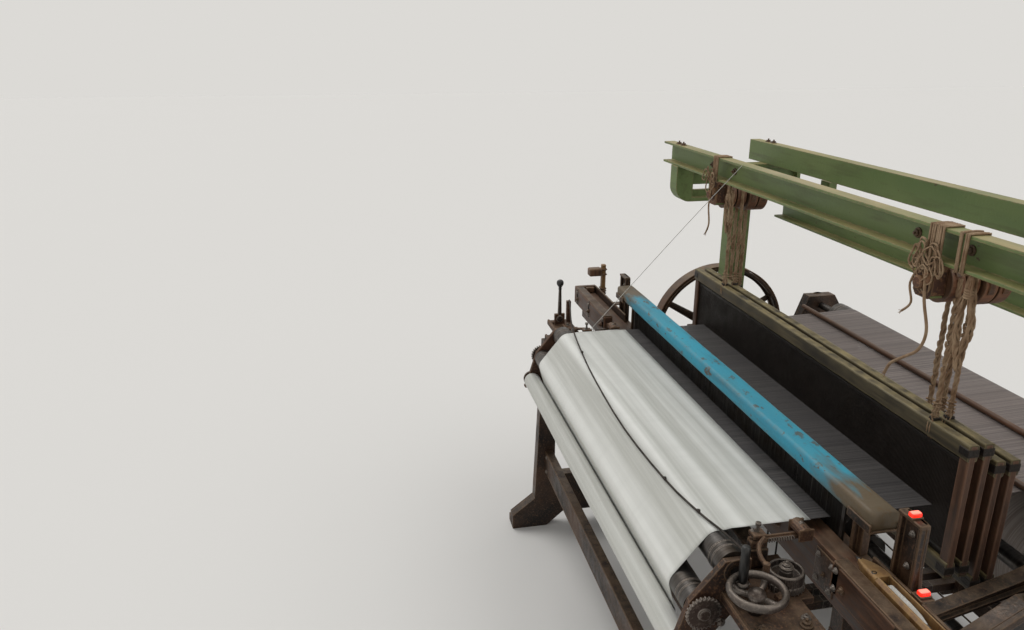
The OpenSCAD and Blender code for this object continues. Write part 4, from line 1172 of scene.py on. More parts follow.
# A raised flange just inside a closed outline in Y and Z, standing on a face from x0 to x1
def addFlange(bm, outline, width, x0, x1):
    area = sum(a[0] * b[1] - b[0] * a[1] for a, b in zip(outline, outline[1:] + outline[:1]))
    turn = 1 if area > 0 else -1
    inner = []
    for i in range(len(outline)):
        p, q, r = (Vector(outline[(i + j) % len(outline)]) for j in (-1, 0, 1))
        a, b = (q - p).normalized(), (r - q).normalized()
        na, nb = Vector((-a.y, a.x)) * turn, Vector((-b.y, b.x)) * turn
        bend = (na + nb).normalized()
        inner.append(q + bend * min(width / max(bend.dot(na), 0.35), width * 2))
    rings = [[bm.verts.new((x, *p)) for p in line]
             for x, line in ((x0, outline), (x1, outline), (x1, inner), (x0, inner))]
    for a, b in zip(rings, rings[1:] + rings[:1]):
        for k in range(len(outline)):
            n = (k + 1) % len(outline)
            bm.faces.new((a[k], a[n], b[n], b[k]))


# Cast side frames: flanges round the outline and the windows, upright ribs and bearing bosses
framePiece = {"flange": 16 * mm, "stand": 12 * mm, "rim": 12 * mm,
              "outline": ((-0.780, 0.001), (-0.640, 0.001), (-0.570, 0.060), (0.570, 0.060), (0.640, 0.001),
                          (0.780, 0.001), (0.780, 0.060), (0.700, 0.130), (0.670, 0.700), (0.530, 0.914),
                          (0.420, 0.914), (0.380, 0.799), (-0.050, 0.799), (-0.180, 0.719), (-0.480, 0.719),
                          (-0.500, 0.799), (-0.660, 0.799), (-0.690, 0.130), (-0.780, 0.060)),
              "windows": ((-0.610, -0.430, 0.230, 0.640), (-0.350, 0.120, 0.230, 0.600),
                          (0.280, 0.460, 0.230, 0.740)),
              "ribs": ((-0.39, 0.70), (0.20, 0.30)),
              "bosses": ((0.115, 0.740, 0.055), (0.200, 0.360, 0.055), (0.545, 0.500, 0.048),
                         (-0.345, 0.120, 0.050), (0.475, 0.875, 0.036))}


def makeFrameDetail(s):
    cut, rim = 14 * mm, s["rim"]
    for side, name in bothEnds:
        face, bm = side * (frameOut - 0.5 * mm), bmesh.new()
        addFlange(bm, list(s["outline"]), s["flange"], face, side * (frameOut + s["stand"]))
        for y0, y1, z0, z1 in s["windows"]:  # rim outside each window, with cut corners
            y0, y1, z0, z1 = y0 - rim, y1 + rim, z0 - rim, z1 + rim
            ring = [(y0 + cut, z0), (y1 - cut, z0), (y1, z0 + cut), (y1, z1 - cut), (y1 - cut, z1),
                    (y0 + cut, z1), (y0, z1 - cut), (y0, z0 + cut)]
            addFlange(bm, ring, rim - 0.5 * mm, face, side * (frameOut + 7 * mm))
        for y, top in s["ribs"]:
            addSided(bm, side, (frameOut - 0.5 * mm, y - 7 * mm, 0.08), (frameOut + 8 * mm, y + 7 * mm, top),
                     3 * mm)
        for y, z, radius in s["bosses"]:
            cup = ((9, 0), (7, 9), (0, 12), (-8, 14), (-10, 10))
            outline = [(radius + r * mm, face + side * h * mm) for r, h in cup]
            addTurned(bm, outline + [(24 * mm, face + side * 10 * mm)], Vector((0, y, z)), "X", 48)
        finishPiece("frameRibs" + name, bm, "iron", "frame")


makeFrameDetail(framePiece)


# Rusted cast hangers that carry the drum shafts under the girder, with a collar, a shaft cap and an oil cup
hangerPiece = {"half": 29 * mm, "foot": 47 * mm, "wall": 33 * mm}


def extrudeXZ(bm, outline, y0, y1):
    addLoft(bm, [[(x, y, z) for x, z in outline] for y in (y0, y1)])


def makeHangers(s):
    bm = bmesh.new()
    drumX, z, half, foot = shaftPiece["drumX"], shaftPiece["drumZ"], s["half"], s["foot"]
    girder = girderTop - 0.075
    for x in (-drumX, drumX):
        edge = [(-foot, girder), (-foot, girder - 7 * mm), (-half - 3 * mm, girder - 10 * mm),
                (-half, girder - 20 * mm), (-half, z - 22 * mm), (-half + 10 * mm, z - 33 * mm)]
        extrudeXZ(bm, [(x + a, b) for a, b in edge] + [(x - a, b) for a, b in reversed(edge)],
                  girderFront + 0.5 * mm, girderFront + s["wall"] - 1.5 * mm)
        addTurned(bm, [(r * mm, girderFront + h * mm) for r, h in ((13, -1), (24, -1), (26, 4), (26, 18))],
                  Vector((x, 0, z)), "Y", 36)
        addTurned(bm, [(r * mm, h * mm)
                       for r, h in ((0, 0), (7, 0), (7, 16), (9, 17), (9, 22), (4, 24), (0, 24))],
                  Vector((x + half - 6 * mm, girderFront - 6 * mm, z + 4 * mm)), sides=16)
        addTurned(bm, [(r * mm, girderFront - h * mm)
                       for r, h in ((0, 17), (12, 17), (15, 14), (15, 3), (0, 3))],
                  Vector((x, 0, z)), "Y", 24)
    finishPiece("drumHangers", bm, "rust", "frame")
    spots = [((x + bolt * mm, girderFront + 14 * mm, girder - 8 * mm), "-Z") for x in (-drumX, drumX)
             for bolt in (-38, 38)]
    placeBolts("hangerBolts", "frame", "rust", 6 * mm, 6 * mm, spots)


makeHangers(hangerPiece)
print("side frames ribbed and hangers cast")


# Shuttle boxes: oiled wooden front and end, iron back wall and guard strip, leather buffer, upright plate
boxPiece = {"start": 0.750, "end": 1.140, "tip": 1.160, "front": -0.445, "inner": -0.415, "wall": -0.363,
            "low": 0.833, "race": 0.865, "top": 0.905, "plate": (0.792, 0.864), "plateTop": 1.036,
            "back": -0.332, "folds": (0.765, 0.95, 1.115)}


def makeShuttleBoxes(s):
    start, end, front, inner, wall, top, back, high = (
        s[key] for key in ("start", "end", "front", "inner", "wall", "top", "back", "plateTop"))
    x0, x1 = s["plate"]
    plate = [(x0, 0.866), (x1, 0.866), (x1, 0.905), (x1 - 6 * mm, 0.940), (x1 - 6 * mm, high - 6 * mm),
             (x1 - 12 * mm, high), (x0 + 8 * mm, high), (x0 + 2 * mm, high - 6 * mm), (x0 + 2 * mm, 0.940)]
    for side, name in bothEnds:
        wood, iron, soft = bmesh.new(), bmesh.new(), bmesh.new()
        addSided(wood, side, (start, front, s["low"]), (end + 1 * mm, inner, top - 4 * mm), 4 * mm, 3)
        addSided(wood, side, (end, front, s["low"]), (s["tip"], wall + 8 * mm, top), 5 * mm, 3)
        addSided(iron, side, (start + 4 * mm, front + 1 * mm, top - 4 * mm), (end, inner + 1 * mm, top),
                 1 * mm)
        addSided(iron, side, (start, inner - 1 * mm, 0.8785), (end, inner + 3 * mm, top - 2 * mm), 1 * mm)
        addSided(iron, side, (start + 8 * mm, wall, s["race"]), (end, wall + 7 * mm, top))
        for x in s["folds"]:  # iron straps fold over the wooden front
            addSided(iron, side, (x - 9 * mm, front, s["low"] + 2 * mm), (x + 9 * mm, front + 3 * mm, top),
                     1 * mm)
        addSided(soft, side, (start + 20 * mm, inner + 2 * mm, 0.8795),
                 (end - 5 * mm, inner + 7 * mm, top - 5 * mm))
        addSided(soft, side, (end - 12 * mm, inner + 12 * mm, 0.880),
                 (end + 1 * mm, wall - 4 * mm, top - 4 * mm), 3 * mm)
        # The swell bows out behind the back wall
        addLoft(iron, [[(side * (0.90 + 0.20 * t), wall + 8 * mm + 3 * mm * math.sin(math.pi * t) + w, z)
                        for w, z in ((0, 0.874), (2.5 * mm, 0.874), (2.5 * mm, 0.898), (0, 0.898))]
                       for t in parts(16)])
        extrudeXZ(iron, [(side * x, z) for x, z in plate], back - 8 * mm, back - 1 * mm)
        for x in (x0 + 7 * mm, x1 - 11 * mm):  # ribs down the plate's face
            addSided(iron, side, (x - 4 * mm, back - 20 * mm, 0.868),
                     (x + 4 * mm, back - 7 * mm, high - 3 * mm))
        addSided(iron, side, (x0 + 2 * mm, back - 22 * mm, high - 7 * mm), (x1 - 6 * mm, back - 1 * mm, high),
                 1.5 * mm)
        addSided(iron, side, (0.873, wall, top - 1 * mm), (0.903, back - 3 * mm, top + 4 * mm), 1 * mm)
        finishPiece("shuttleBoxWood" + name, wood, "box", "sley",
                    "shuttle_box_right" if side > 0 else "shuttle_box_left")
        finishPiece("shuttleBoxIron" + name, iron, "iron", "sley")
        finishPiece("shuttleBoxLeather" + name, soft, "leather", "sley")
        spots = [((side * x, front - 0.5 * mm, z), "-Y") for x in s["folds"] for z in (0.848, 0.888)]
        spots += [((side * 0.827, back - 10 * mm, z), "-Y") for z in (0.93, 1.00)]
        placeBolts("shuttleBoxBolts" + name, "sley", "wornIron", 5 * mm, 5 * mm, spots)


makeShuttleBoxes(boxPiece)


# Shuttle: a polished boat with steel tips, a hollow with the cop on its tongue, and an eye
shuttlePiece = {"length": 0.340, "width": 39 * mm, "height": 32 * mm, "hollow": (-0.080, 0.080),
                "deep": 22 * mm}


def makeShuttle(s):
    centre, half, wide, tall = middle("shuttle"), s["length"] / 2, s["width"], s["height"]
    pin = centre + Vector((0, 0, 3 * mm))
    wood, steel, yarn = bmesh.new(), bmesh.new(), bmesh.new()
    for end in (-1, 1):
        line = [(centre.x + end * (0.080 + (half - 0.096) * t), centre.y, centre.z,
                 1 - 0.72 * max(0, (t - 0.2) / 0.8) ** 1.6)
                for t in parts(10)]
        addBeam(wood, roundedSection(wide * 0.98, tall * 0.98, 6 * mm, 4), line[::end])
        tip = ((0, 0.5), (1.2, 2), (5.2, 14), (5.8, 22), (0, 22))
        addTurned(steel, [(r * mm, end * (half - x * mm)) for r, x in tip], centre, "X", 20)
    w, h, c, slot = wide / 2 * 0.98, tall / 2 * 0.98, 6 * mm, 11 * mm
    hollow = [(-w + c, -h), (w - c, -h), (w, -h + c), (w, h - c), (w - c, h), (slot, h),
              (slot, h - s["deep"]), (-slot, h - s["deep"]), (-slot, h), (-w + c, h), (-w, h - c),
              (-w, -h + c)]
    addLoft(wood, [[centre + Vector((x, y, z)) for y, z in hollow] for x in s["hollow"]])
    finishPiece("shuttleBoat", wood, "stick", "shuttle", "shuttle")
    addTurned(steel, [(0, -0.079), (3 * mm, -0.079), (3 * mm, 0.050), (0, 0.052)], pin, "X", 12)
    eye = centre + Vector((-0.095, -wide / 2 + 8 * mm, tall / 2 - 1.6 * mm))
    addTurned(steel, [(3 * mm, 0), (5 * mm, 0), (5 * mm, 2 * mm), (3 * mm, 2 * mm)], eye, sides=16)
    cop = ((3, -66), (8.4, -60), (8.6, -10), (7.2, 20), (3, 42))
    addTurned(yarn, [(r * mm, x * mm) for r, x in cop], pin, "X", 28)
    finishPiece("shuttleTips", steel, "steel", "shuttle", smooth=True)
    finishPiece("shuttleCop", yarn, "thread", "shuttle", smooth=True)


makeShuttle(shuttlePiece)


# Picking sticks of ash with a rawhide picker, bound with straps
stickPiece = {"x": 1.120, "y": -0.335, "base": 0.110, "top": 1.000, "picker": (0.955, 0.988)}


def makePickingSticks(s):
    x, y, (low, high), base = s["x"], s["y"], s["picker"], s["base"]
    for (side, name), body in zip(bothEnds, ("picking_stick_right", "picking_stick_left")):
        stick, hide, iron = bmesh.new(), bmesh.new(), bmesh.new()
        rings = [[(side * x + a * 15 * mm * (1 - 0.28 * t), y + b * 10 * mm * (1 - 0.15 * t),
                   base + (s["top"] - base) * t) for a, b in cutCorners(0.7, 0.6)] for t in parts(12)]
        addLoft(stick, rings)
        addSided(hide, side, (x - 19 * mm, y - 64 * mm, low), (x + 19 * mm, y - 10 * mm, high), 7 * mm, 3)
        for z in (low + 6 * mm, high - 6 * mm, 0.900, 0.890, 0.880):
            addSided(hide, side, (x - 15 * mm, y - 12.5 * mm, z - 3.4 * mm),
                     (x + 15 * mm, y + 12 * mm, z + 3.4 * mm), 2.5 * mm)
        addSided(iron, side, (x - 17 * mm, y - 12 * mm, 0.118), (x + 17 * mm, y + 12 * mm, 0.200), 3 * mm)
        addRod(iron, 15 * mm, y + 10 * mm, y + 16 * mm, Vector((side * x, 0, 0.140)), "Y")
        finishPiece("pickingStick" + name, stick, "stick", body, body)
        finishPiece("rawhidePicker" + name, hide, "leather", body)
        finishPiece("stickShoe" + name, iron, "iron", body)


makePickingSticks(stickPiece)
print("boxes, shuttle and sticks made")


# Temples that stretch the cloth: a ringed barrel under a cap, on a cast arm with spring, clamp and set screw
templePiece = {"x": (0.6135, 0.6595), "y": -0.447, "z": 0.898, "foot": -0.563, "rings": 8, "arm": 0.635,
               "flat": 0.9148}


def addCoil(bm, start, end, radius, wire, turns):
    start, end = Vector(start), Vector(end)
    u = (end - start).cross(Vector((0, 0, 1))).normalized()
    w = (end - start).normalized().cross(u)
    addTube(bm, [start + (end - start) * t + radius * (math.cos(a) * u + math.sin(a) * w)
                 for t, a in [(t, 2 * math.pi * turns * t) for t in parts(turns * 10)]], wire, 5)


def makeTemples(s):
    (x0, x1), y, z, foot, arm = s["x"], s["y"], s["z"], s["foot"], s["arm"]
    step = (x1 - x0 - 6 * mm) / s["rings"]
    for side, name in bothEnds:
        bm, bright = bmesh.new(), bmesh.new()
        barrel = [(r * mm, side * (x0 + 3 * mm + step * (j + t))) for j in range(s["rings"])
                  for r, t in ((7, 0), (9.5, 0.3), (9.5, 0.5), (7, 0.8))]
        addTurned(bright, [(0, barrel[0][1])] + barrel + [(0, barrel[-1][1])], Vector((0, y, z)), "X", 28)
        for x in (x0 + 1.2 * mm, x1 - 3 * mm):  # cheeks that hold the barrel
            addSided(bm, side, (x - 1.2 * mm, y - 17 * mm, 0.883), (x + 3 * mm, y + 17 * mm, 0.9115),
                     1.5 * mm)
        arch = [math.radians(-5 + 190 * t) for t in parts(8)]
        addLoft(bm, [[(side * x, y + r * math.cos(a), min(z + r * math.sin(a) + 1 * mm, s["flat"]))
                      for r, sweep in ((15.5 * mm, arch), (12 * mm, arch[::-1])) for a in sweep]
                     for x in (x0 + 1 * mm, x1 - 1 * mm)])
        addSided(bm, side, (arm - 10.5 * mm, foot, 0.8705), (arm + 10.5 * mm, -0.526, 0.8865), 3 * mm)
        section = ((-1, -1), (1, -1), (1, 0.2), (0.45, 0.3), (0.3, 1), (-0.3, 1), (-0.45, 0.3), (-1, 0.2))
        rings = []
        for t in parts(11):
            half = (10 - 3.5 * math.sin(math.pi * t)) * mm
            rings.append([(side * arm + a * half, foot + 2 * mm + (y + 18 * mm - foot) * t,
                           0.8875 + b * 6 * mm) for a, b in section])
        addLoft(bm, rings)
        addSided(bm, side, (arm - 13.5 * mm, -0.560, 0.893), (arm + 13.5 * mm, -0.530, 0.9045), 3 * mm)
        addCoil(bright, (side * 0.6515, -0.528, 0.892), (side * 0.6515, -0.472, 0.892), 4.2 * mm, 1 * mm, 10)
        screw = [(r * mm, up) for r, up in ((0, 0.895), (3.5, 0.895), (3.5, 0.921), (6, 0.921), (6, 0.927),
                                            (0, 0.928))]
        addTurned(bright, screw, Vector((side * arm, -0.546, 0)), sides=12)
        finishPiece("templeCasting" + name, bm, "ledge", "frame",
                    "temple_right" if side > 0 else "temple_left")
        finishPiece("templeBarrel" + name, bright, "wornIron", "frame")
    spots = [((side * x, *place), "+Z") for x, *place in ((0.6285, -0.553, 0.9045), (arm, y, 0.9135))
             for side in (-1, 1)]
    placeBolts("templeBolts", "frame", "wornIron", 4 * mm, 3.5 * mm, spots)


makeTemples(templePiece)
print("temples made")


# A toothed wheel outline extruded along X
def addGear(bm, centre, radius, teeth, x0, x1, depth):
    outline = [(r, 2 * math.pi * (j + part) / teeth) for j in range(teeth)
               for part, r in ((0.0, radius - depth), (0.22, radius), (0.48, radius), (0.70, radius - depth))]
    addLoft(bm, [[(x, centre[0] + r * math.cos(a), centre[1] + r * math.sin(a)) for r, a in outline]
                 for x in (x0, x1)])


# Bearings of the cloth rollers: cast housings, a ledge under the roll, a worn gear on each take-up journal
bearingPiece = {"plate": 0.700, "gear": (38 * mm, 26),
                "bolts": ((-0.645, 0.745), (-0.700, 0.735), (-0.610, 0.805)),
                "journals": (("guide_roller", -0.621, 0.865, 24 * mm, 1.6 * mm),
                             ("take_up_roller", -0.691, 0.785, 25 * mm, 9 * mm),
                             ("cloth_roll", -0.7315, 0.700, 24 * mm, 10 * mm))}


def makeBearings(s):
    housings, gears, spots, plate = bmesh.new(), bmesh.new(), [], s["plate"]
    face, (radius, teeth) = plate - 0.5 * mm, s["gear"]
    for side in (-1, 1):
        for node, y, z, wide, stand in s["journals"]:
            ring = ((14 * mm, 0), (wide + 4 * mm, 0), (wide + 3 * mm, stand), (wide - 4 * mm, stand + 1 * mm),
                    (14 * mm, stand + 1 * mm))
            addRing(housings, [(r, side * (face + x)) for r, x in ring], Vector((0, y, z)),
                    sides=8 if node == "take_up_roller" else 32)
        y, z = s["journals"][2][1:3]
        addSided(housings, side, (face, y - 26 * mm, z - 30 * mm), (face + 7 * mm, y + 28 * mm, z - 20 * mm))
        spots += [((side * plate, y, z), "+X" if side > 0 else "-X") for y, z in s["bolts"]]
        y, z = s["journals"][1][1:3]
        addGear(gears, (y, z), radius, teeth, *sorted((side * (plate + 10 * mm), side * (plate + 17 * mm))),
                4 * mm)
        a, b = sorted((side * (plate - 1 * mm), side * (plate + 22 * mm)))
        addRod(gears, 12.5 * mm, a, b, Vector((0, y, z)), "X", 20)
    finishPiece("rollerHousings", housings, "iron", "frame")
    finishPiece("takeUpGears", gears, "wornIron", "take_up_roller")
    placeBolts("bracketBolts", "frame", "wornIron", 7 * mm, 7 * mm, spots)


makeBearings(bearingPiece)


# The small iron things that crowd the take-up shelf: curved lever, pawl on its pin, stops and lips
shelfPiece = {"lever": ((0.650, -0.538, 0.8985), (0.668, -0.558, 0.894), (0.690, -0.566, 0.886),
                        (0.712, -0.563, 0.878)),
              "pawl": ((0.742, -0.558), (0.757, -0.556), (0.758, -0.540), (0.746, -0.528), (0.736, -0.527),
                       (0.741, -0.541)),
              "bolts": ((0.86, -0.535), (0.93, -0.535), (0.800, -0.520)), "radius": 5 * mm}


def makeShelfIron(s):
    bm, top = bmesh.new(), shelfTop - 0.3 * mm
    for side in (-1, 1):
        addTube(bm, smoothRoute([(side * x, y, z) for x, y, z in s["lever"]], 5), s["radius"], 8)
        addRod(bm, 7 * mm, shelfTop, 0.884, Vector((side * 0.712, -0.563, 0)), sides=16)
        addLoft(bm, [[(side * x, y, z) for x, y in s["pawl"]] for z in (0.824, 0.834)])
        addRod(bm, 6 * mm, top, 0.838, Vector((side * 0.750, -0.549, 0)), sides=14)
        addSided(bm, side, (0.880, -0.562, shelfTop - 1 * mm), (0.915, -0.548, 0.828), 3 * mm)
        addTurned(bm, [(0, top), (11 * mm, top), (10 * mm, 0.826), (4 * mm, 0.831), (0, 0.831)],
                  Vector((side * 0.955, -0.580, 0)), sides=20)
        addSided(bm, side, (0.690, -0.6495, shelfTop - 1 * mm), (0.834, -0.6415, 0.820), 1.5 * mm)
        addSided(bm, side, (0.836, -0.5995, shelfTop - 1 * mm), (0.999, -0.592, 0.820), 1.5 * mm)
    finishPiece("shelfIron", bm, "ledge", "frame")
    spots = [((side * x, y, shelfTop), "+Z") for side in (-1, 1) for x, y in s["bolts"]]
    placeBolts("shelfBolts", "frame", "wornIron", 7 * mm, 7 * mm, spots)


makeShelfIron(shelfPiece)
print("take-up end fitted")


# Motor: finned barrel, end bell, fan cowl with a ring of studs, terminal box and bolted feet
motorPiece = {"radius": 77 * mm, "low": -1.139, "high": -1.011, "fins": 40, "base": 0.092}


def makeMotor(s):
    bm = bmesh.new()
    (y, z), low, high, base = motorShaft, s["low"], s["high"], s["base"]
    centre = Vector((0, y, z))
    addGear(bm, motorShaft, s["radius"], s["fins"], low + 34 * mm, high - 20 * mm, 8 * mm)
    bell = ((0, 0), (20, 0), (24, 5), (60, 8), (72, 14), (74, 22), (0, 22))
    cowl = ((0, 4), (34, 4), (36, 0), (62, 0), (72, 7), (75, 36), (0, 36))
    addTurned(bm, [(r * mm, high - x * mm) for r, x in bell], centre, "X", 40)
    addTurned(bm, [(r * mm, low + x * mm) for r, x in cowl], centre, "X", 40)
    for a in circle(12)[:-1]:
        spot = centre + 49 * mm * Vector((0, math.cos(a), math.sin(a)))
        addBlock(bm, (low - 0.8 * mm, spot.y - 3 * mm, spot.z - 3 * mm),
                 (low + 3 * mm, spot.y + 3 * mm, spot.z + 3 * mm), 1 * mm)
    addBlock(bm, (-1.104, y - 26 * mm, 0.262), (-1.048, y + 26 * mm, 0.2785), 4 * mm)
    for side in (-1, 1):
        a, b = sorted((y + side * 42 * mm, y + side * 60 * mm))
        addBlock(bm, (low + 12 * mm, a, base + 16 * mm), (high - 12 * mm, b, z - 30 * mm), 3 * mm)
        a, b = sorted((y + side * 30 * mm, y + side * 78 * mm))
        addBlock(bm, (low + 8 * mm, a, base + 17 * mm), (high - 8 * mm, b, base + 27 * mm), 2 * mm)
    addBlock(bm, (low, y - 80 * mm, base), (-0.836, y + 80 * mm, base + 19 * mm), 3 * mm)
    finishPiece("motorBody", bm, "green", "frame", "motor")
    feet = ((low + 24 * mm, 69, 27), (high - 24 * mm, 69, 27), (-0.86, 60, 19))
    spots = [((x, y + side * out * mm, base + up * mm), "+Z") for x, out, up in feet for side in (-1, 1)]
    placeBolts("motorBolts", "frame", "wornIron", 6 * mm, 6 * mm, spots)


makeMotor(motorPiece)


# Belt pulley with a crowned rim, six arms and a hub; the small pulley with the motor's shaft
pulleyPiece = {"x": (-1.0, -0.94), "radius": 0.2695, "rim": 0.2565, "arms": 6, "shaft": 20.5 * mm,
               "small": (-0.994, -0.946)}


def makePulleys(s):
    bm, small = bmesh.new(), bmesh.new()
    (x0, x1), radius, shaft, inner = s["x"], s["radius"], s["shaft"], s["rim"]
    mid, centre = (x0 + x1) / 2, Vector((0, *crankPlace))
    addRing(bm, [(inner, x0), (radius - 2 * mm, x0), (radius, mid), (radius - 2 * mm, x1), (inner, x1),
                 (inner, mid + 5 * mm), (inner - 8.5 * mm, mid + 4 * mm), (inner - 8.5 * mm, mid - 4 * mm),
                 (inner, mid - 5 * mm)], centre, sides=96)
    addRing(bm, [(shaft, x0 - 1 * mm), (42 * mm, x0), (48 * mm, mid - 12 * mm), (48 * mm, mid + 12 * mm),
                 (42 * mm, x1), (shaft, x1 + 1 * mm)], centre)
    arm = [[(mid + (9 - 2.5 * t) * mm * math.sin(a), (19 - 7 * t) * mm * math.cos(a),
             44 * mm + (inner - 43 * mm) * t) for a in circle(12)[:-1]] for t in parts(8)]
    for k in range(s["arms"]):
        turn = Matrix.Rotation(2 * math.pi * k / s["arms"], 3, "X")
        addLoft(bm, [[centre + turn @ Vector(p) for p in ring] for ring in arm])
    finishPiece("beltPulley", bm, "iron", "crank", "loom_pulley")
    centre, (low, high) = Vector((0, *motorShaft)), s["small"]
    addTurned(small, [(0, low), (49.5 * mm, low), (48.2 * mm, low + 5 * mm), (49.2 * mm, (low + high) / 2),
                      (48.2 * mm, high - 5 * mm), (49.5 * mm, high), (42 * mm, high),
                      (38 * mm, high - 7 * mm), (20 * mm, high - 9 * mm), (18 * mm, high), (0, high)], centre,
              "X", 56)
    addRod(small, 9.8 * mm, low - 34 * mm, low + 1 * mm, centre, "X")
    finishPiece("motorPulley", small, "iron", "motor_pulley", "motor_pulley")


makePulleys(pulleyPiece)


# Raised rims, ribs and hubs on both faces of the two gears
gearPiece = {"faces": (-0.933, -0.892), "stand": 8 * mm,
             "gears": (("crank", *crankPlace, 0.121, 45 * mm, 5),
                       ("tappets", 0.200, 0.360, 0.248, 60 * mm, 6))}


def makeGearRibs(s):
    low, high = s["faces"]
    for body, y, z, reach, hub, ribs in s["gears"]:
        bm, centre = bmesh.new(), Vector((0, y, z))
        for face, out in ((low + s["stand"], -1), (high - s["stand"], 1)):
            a, b, end = face - out * 2 * mm, face + out * 6 * mm, face + out * 8.3 * mm
            addRing(bm, [(reach - 14 * mm, a), (reach - 13 * mm, b), (reach - 1 * mm, b), (reach, a)], centre,
                    sides=72)
            addRing(bm, [(21 * mm, face), (hub + 4 * mm, face), (hub + 1 * mm, face + out * 4 * mm),
                         (hub - 8 * mm, end), (21 * mm, end)], centre)
            for k in range(ribs):
                turn = Matrix.Rotation(2 * math.pi * (k + 0.5) / ribs, 3, "X")
                addLoft(bm, [[centre + turn @ Vector((x, w * (7 - 2 * t) * mm,
                                                      hub + (reach - 12 * mm - hub) * t))
                              for x, w in ((a, -1), (b, -0.6), (b, 0.6), (a, 1))] for t in (0, 1)])
        finishPiece("gearRibs" + body, bm, "iron", body)


makeGearRibs(gearPiece)


# Crank arms: a bored eye at each end, the wrist pin, an oil cup and a tapering shank of I section
armPiece = {"x": (0.725, 0.765), "pin": (0.0892, 0.8008), "wrist": (-0.290, 0.700), "big": 35.5 * mm,
            "small": 24.5 * mm}


def makeCrankArms(s):
    pin, wrist, big = Vector((0, *s["pin"])), Vector((0, *s["wrist"])), s["big"]
    along = pin - wrist
    ahead = along.normalized()
    across = Vector((0, -ahead.z, ahead.y))
    section = ((-1, -1), (1, -1), (1, -0.55), (0.45, -0.4), (0.45, 0.4), (1, 0.55), (1, 1), (-1, 1),
               (-1, 0.55), (-0.45, 0.4), (-0.45, -0.4), (-1, -0.55))
    for (side, name), body in zip(bothEnds, ("crank_arm_right", "crank_arm_left")):
        bm = bmesh.new()
        a, b = sorted(side * x for x in s["x"])
        mid = Vector(((a + b) / 2, 0, 0))
        for place, radius, bore in ((pin, big, 18.6 * mm), (wrist, s["small"], 9.5 * mm)):
            addRing(bm, [(bore, a), (radius - 3 * mm, a), (radius, a + 4 * mm), (radius, b - 4 * mm),
                         (radius - 3 * mm, b), (bore, b)], place, sides=40)
        addRod(bm, 10 * mm, side * 0.706, side * 0.764, wrist, "X")
        rings = []
        for t in parts(12):
            c = wrist + mid + ahead * (22 * mm + (along.length - 52 * mm) * t)
            tall = (12 + 5 * t + 5 * max(0, t - 0.85) / 0.15) * mm
            rings.append([c + Vector((x * 17 * mm, 0, 0)) + across * tall * w for x, w in section])
        addLoft(bm, rings)
        addTurned(bm, [(0, 0), (5 * mm, 0), (5 * mm, 7 * mm), (7 * mm, 9 * mm), (0, 9 * mm)],
                  pin + mid + Vector((0, 0, big - 9.5 * mm)), sides=14)
        finishPiece("connectingRod" + name, bm, "iron", body, body)


makeCrankArms(armPiece)


# Warp beam: wooden barrel, ribbed cast flanges with their journals; the wound yarn swells and dips
beamPiece = {"centre": (0, 0.545, 0.500), "barrel": 60 * mm, "flange": 0.2345, "disc": (0.6305, 0.6415),
             "journal": 20 * mm, "half": 0.628, "yarn": 0.1694, "lines": 74}


def makeWarpBeam(s):
    bm, iron, yarn = bmesh.new(), bmesh.new(), bmesh.new()
    centre, barrel, journal, flange = Vector(s["centre"]), s["barrel"], s["journal"], s["flange"]
    half, lines = s["half"], s["lines"]
    addRod(bm, barrel, -0.650, 0.650, centre, "X", 48)
    finishPiece("beamBarrel", bm, "box", "warp_beam", "warp_beam")
    low, high = s["disc"]
    disc = ((journal, low), (flange - 4 * mm, low), (flange, low + 4 * mm), (flange, high + 4 * mm),
            (flange - 9 * mm, high + 4 * mm), (flange - 11 * mm, high), (0.100, high),
            (0.092, high + 12 * mm), (0.078, high + 12 * mm), (0.072, high), (0.055, high),
            (0.048, high + 24 * mm), (journal, high + 24 * mm))
    end = ((0, 0.640), (journal, 0.640), (journal, 0.853), (journal - 3 * mm, 0.855), (0, 0.855))
    for side in (-1, 1):
        addRing(iron, [(r, side * x) for r, x in disc], centre, sides=72)
        addTurned(iron, [(r, side * x) for r, x in end], centre, "X", 32)
        for k in range(8):
            turn = Matrix.Rotation(math.pi * k / 4, 3, "X")
            addLoft(iron, [[centre + turn @ Vector((side * (high + x * mm), w * 5 * mm, r))
                            for x, w in ((-2, -1), (5, -0.7), (5, 0.7), (-2, 1))]
                           for r in (0.092, flange - 8 * mm)])
    finishPiece("beamFlanges", iron, "iron", "warp_beam")
    random.seed(21)
    swell = [random.uniform(-1, 1) for j in range(lines + 1)]
    profile = [(s["yarn"] + 0.5 * mm * (swell[j] + swell[max(j - 1, 0)] + swell[min(j + 1, lines)]) / 3,
                -half + 2 * half * j / lines) for j in range(lines + 1)]
    addTurned(yarn, [(barrel, -half)] + profile + [(barrel, half)], centre, "X", 96)
    finishPiece("woundYarn", yarn, "beamYarn", "warp_beam", "warp_yarn", smooth=True)


makeWarpBeam(beamPiece)
print("motor, gears and beam made")


# Sley dressing: iron plates over the joints, ribs on the swords and collars on the rocking shaft
sleyPiece = {"front": -0.415, "plates": (-0.69, -0.35, 0.35, 0.69), "sword": (0.665, 0.705), "shaft": 22 * mm}


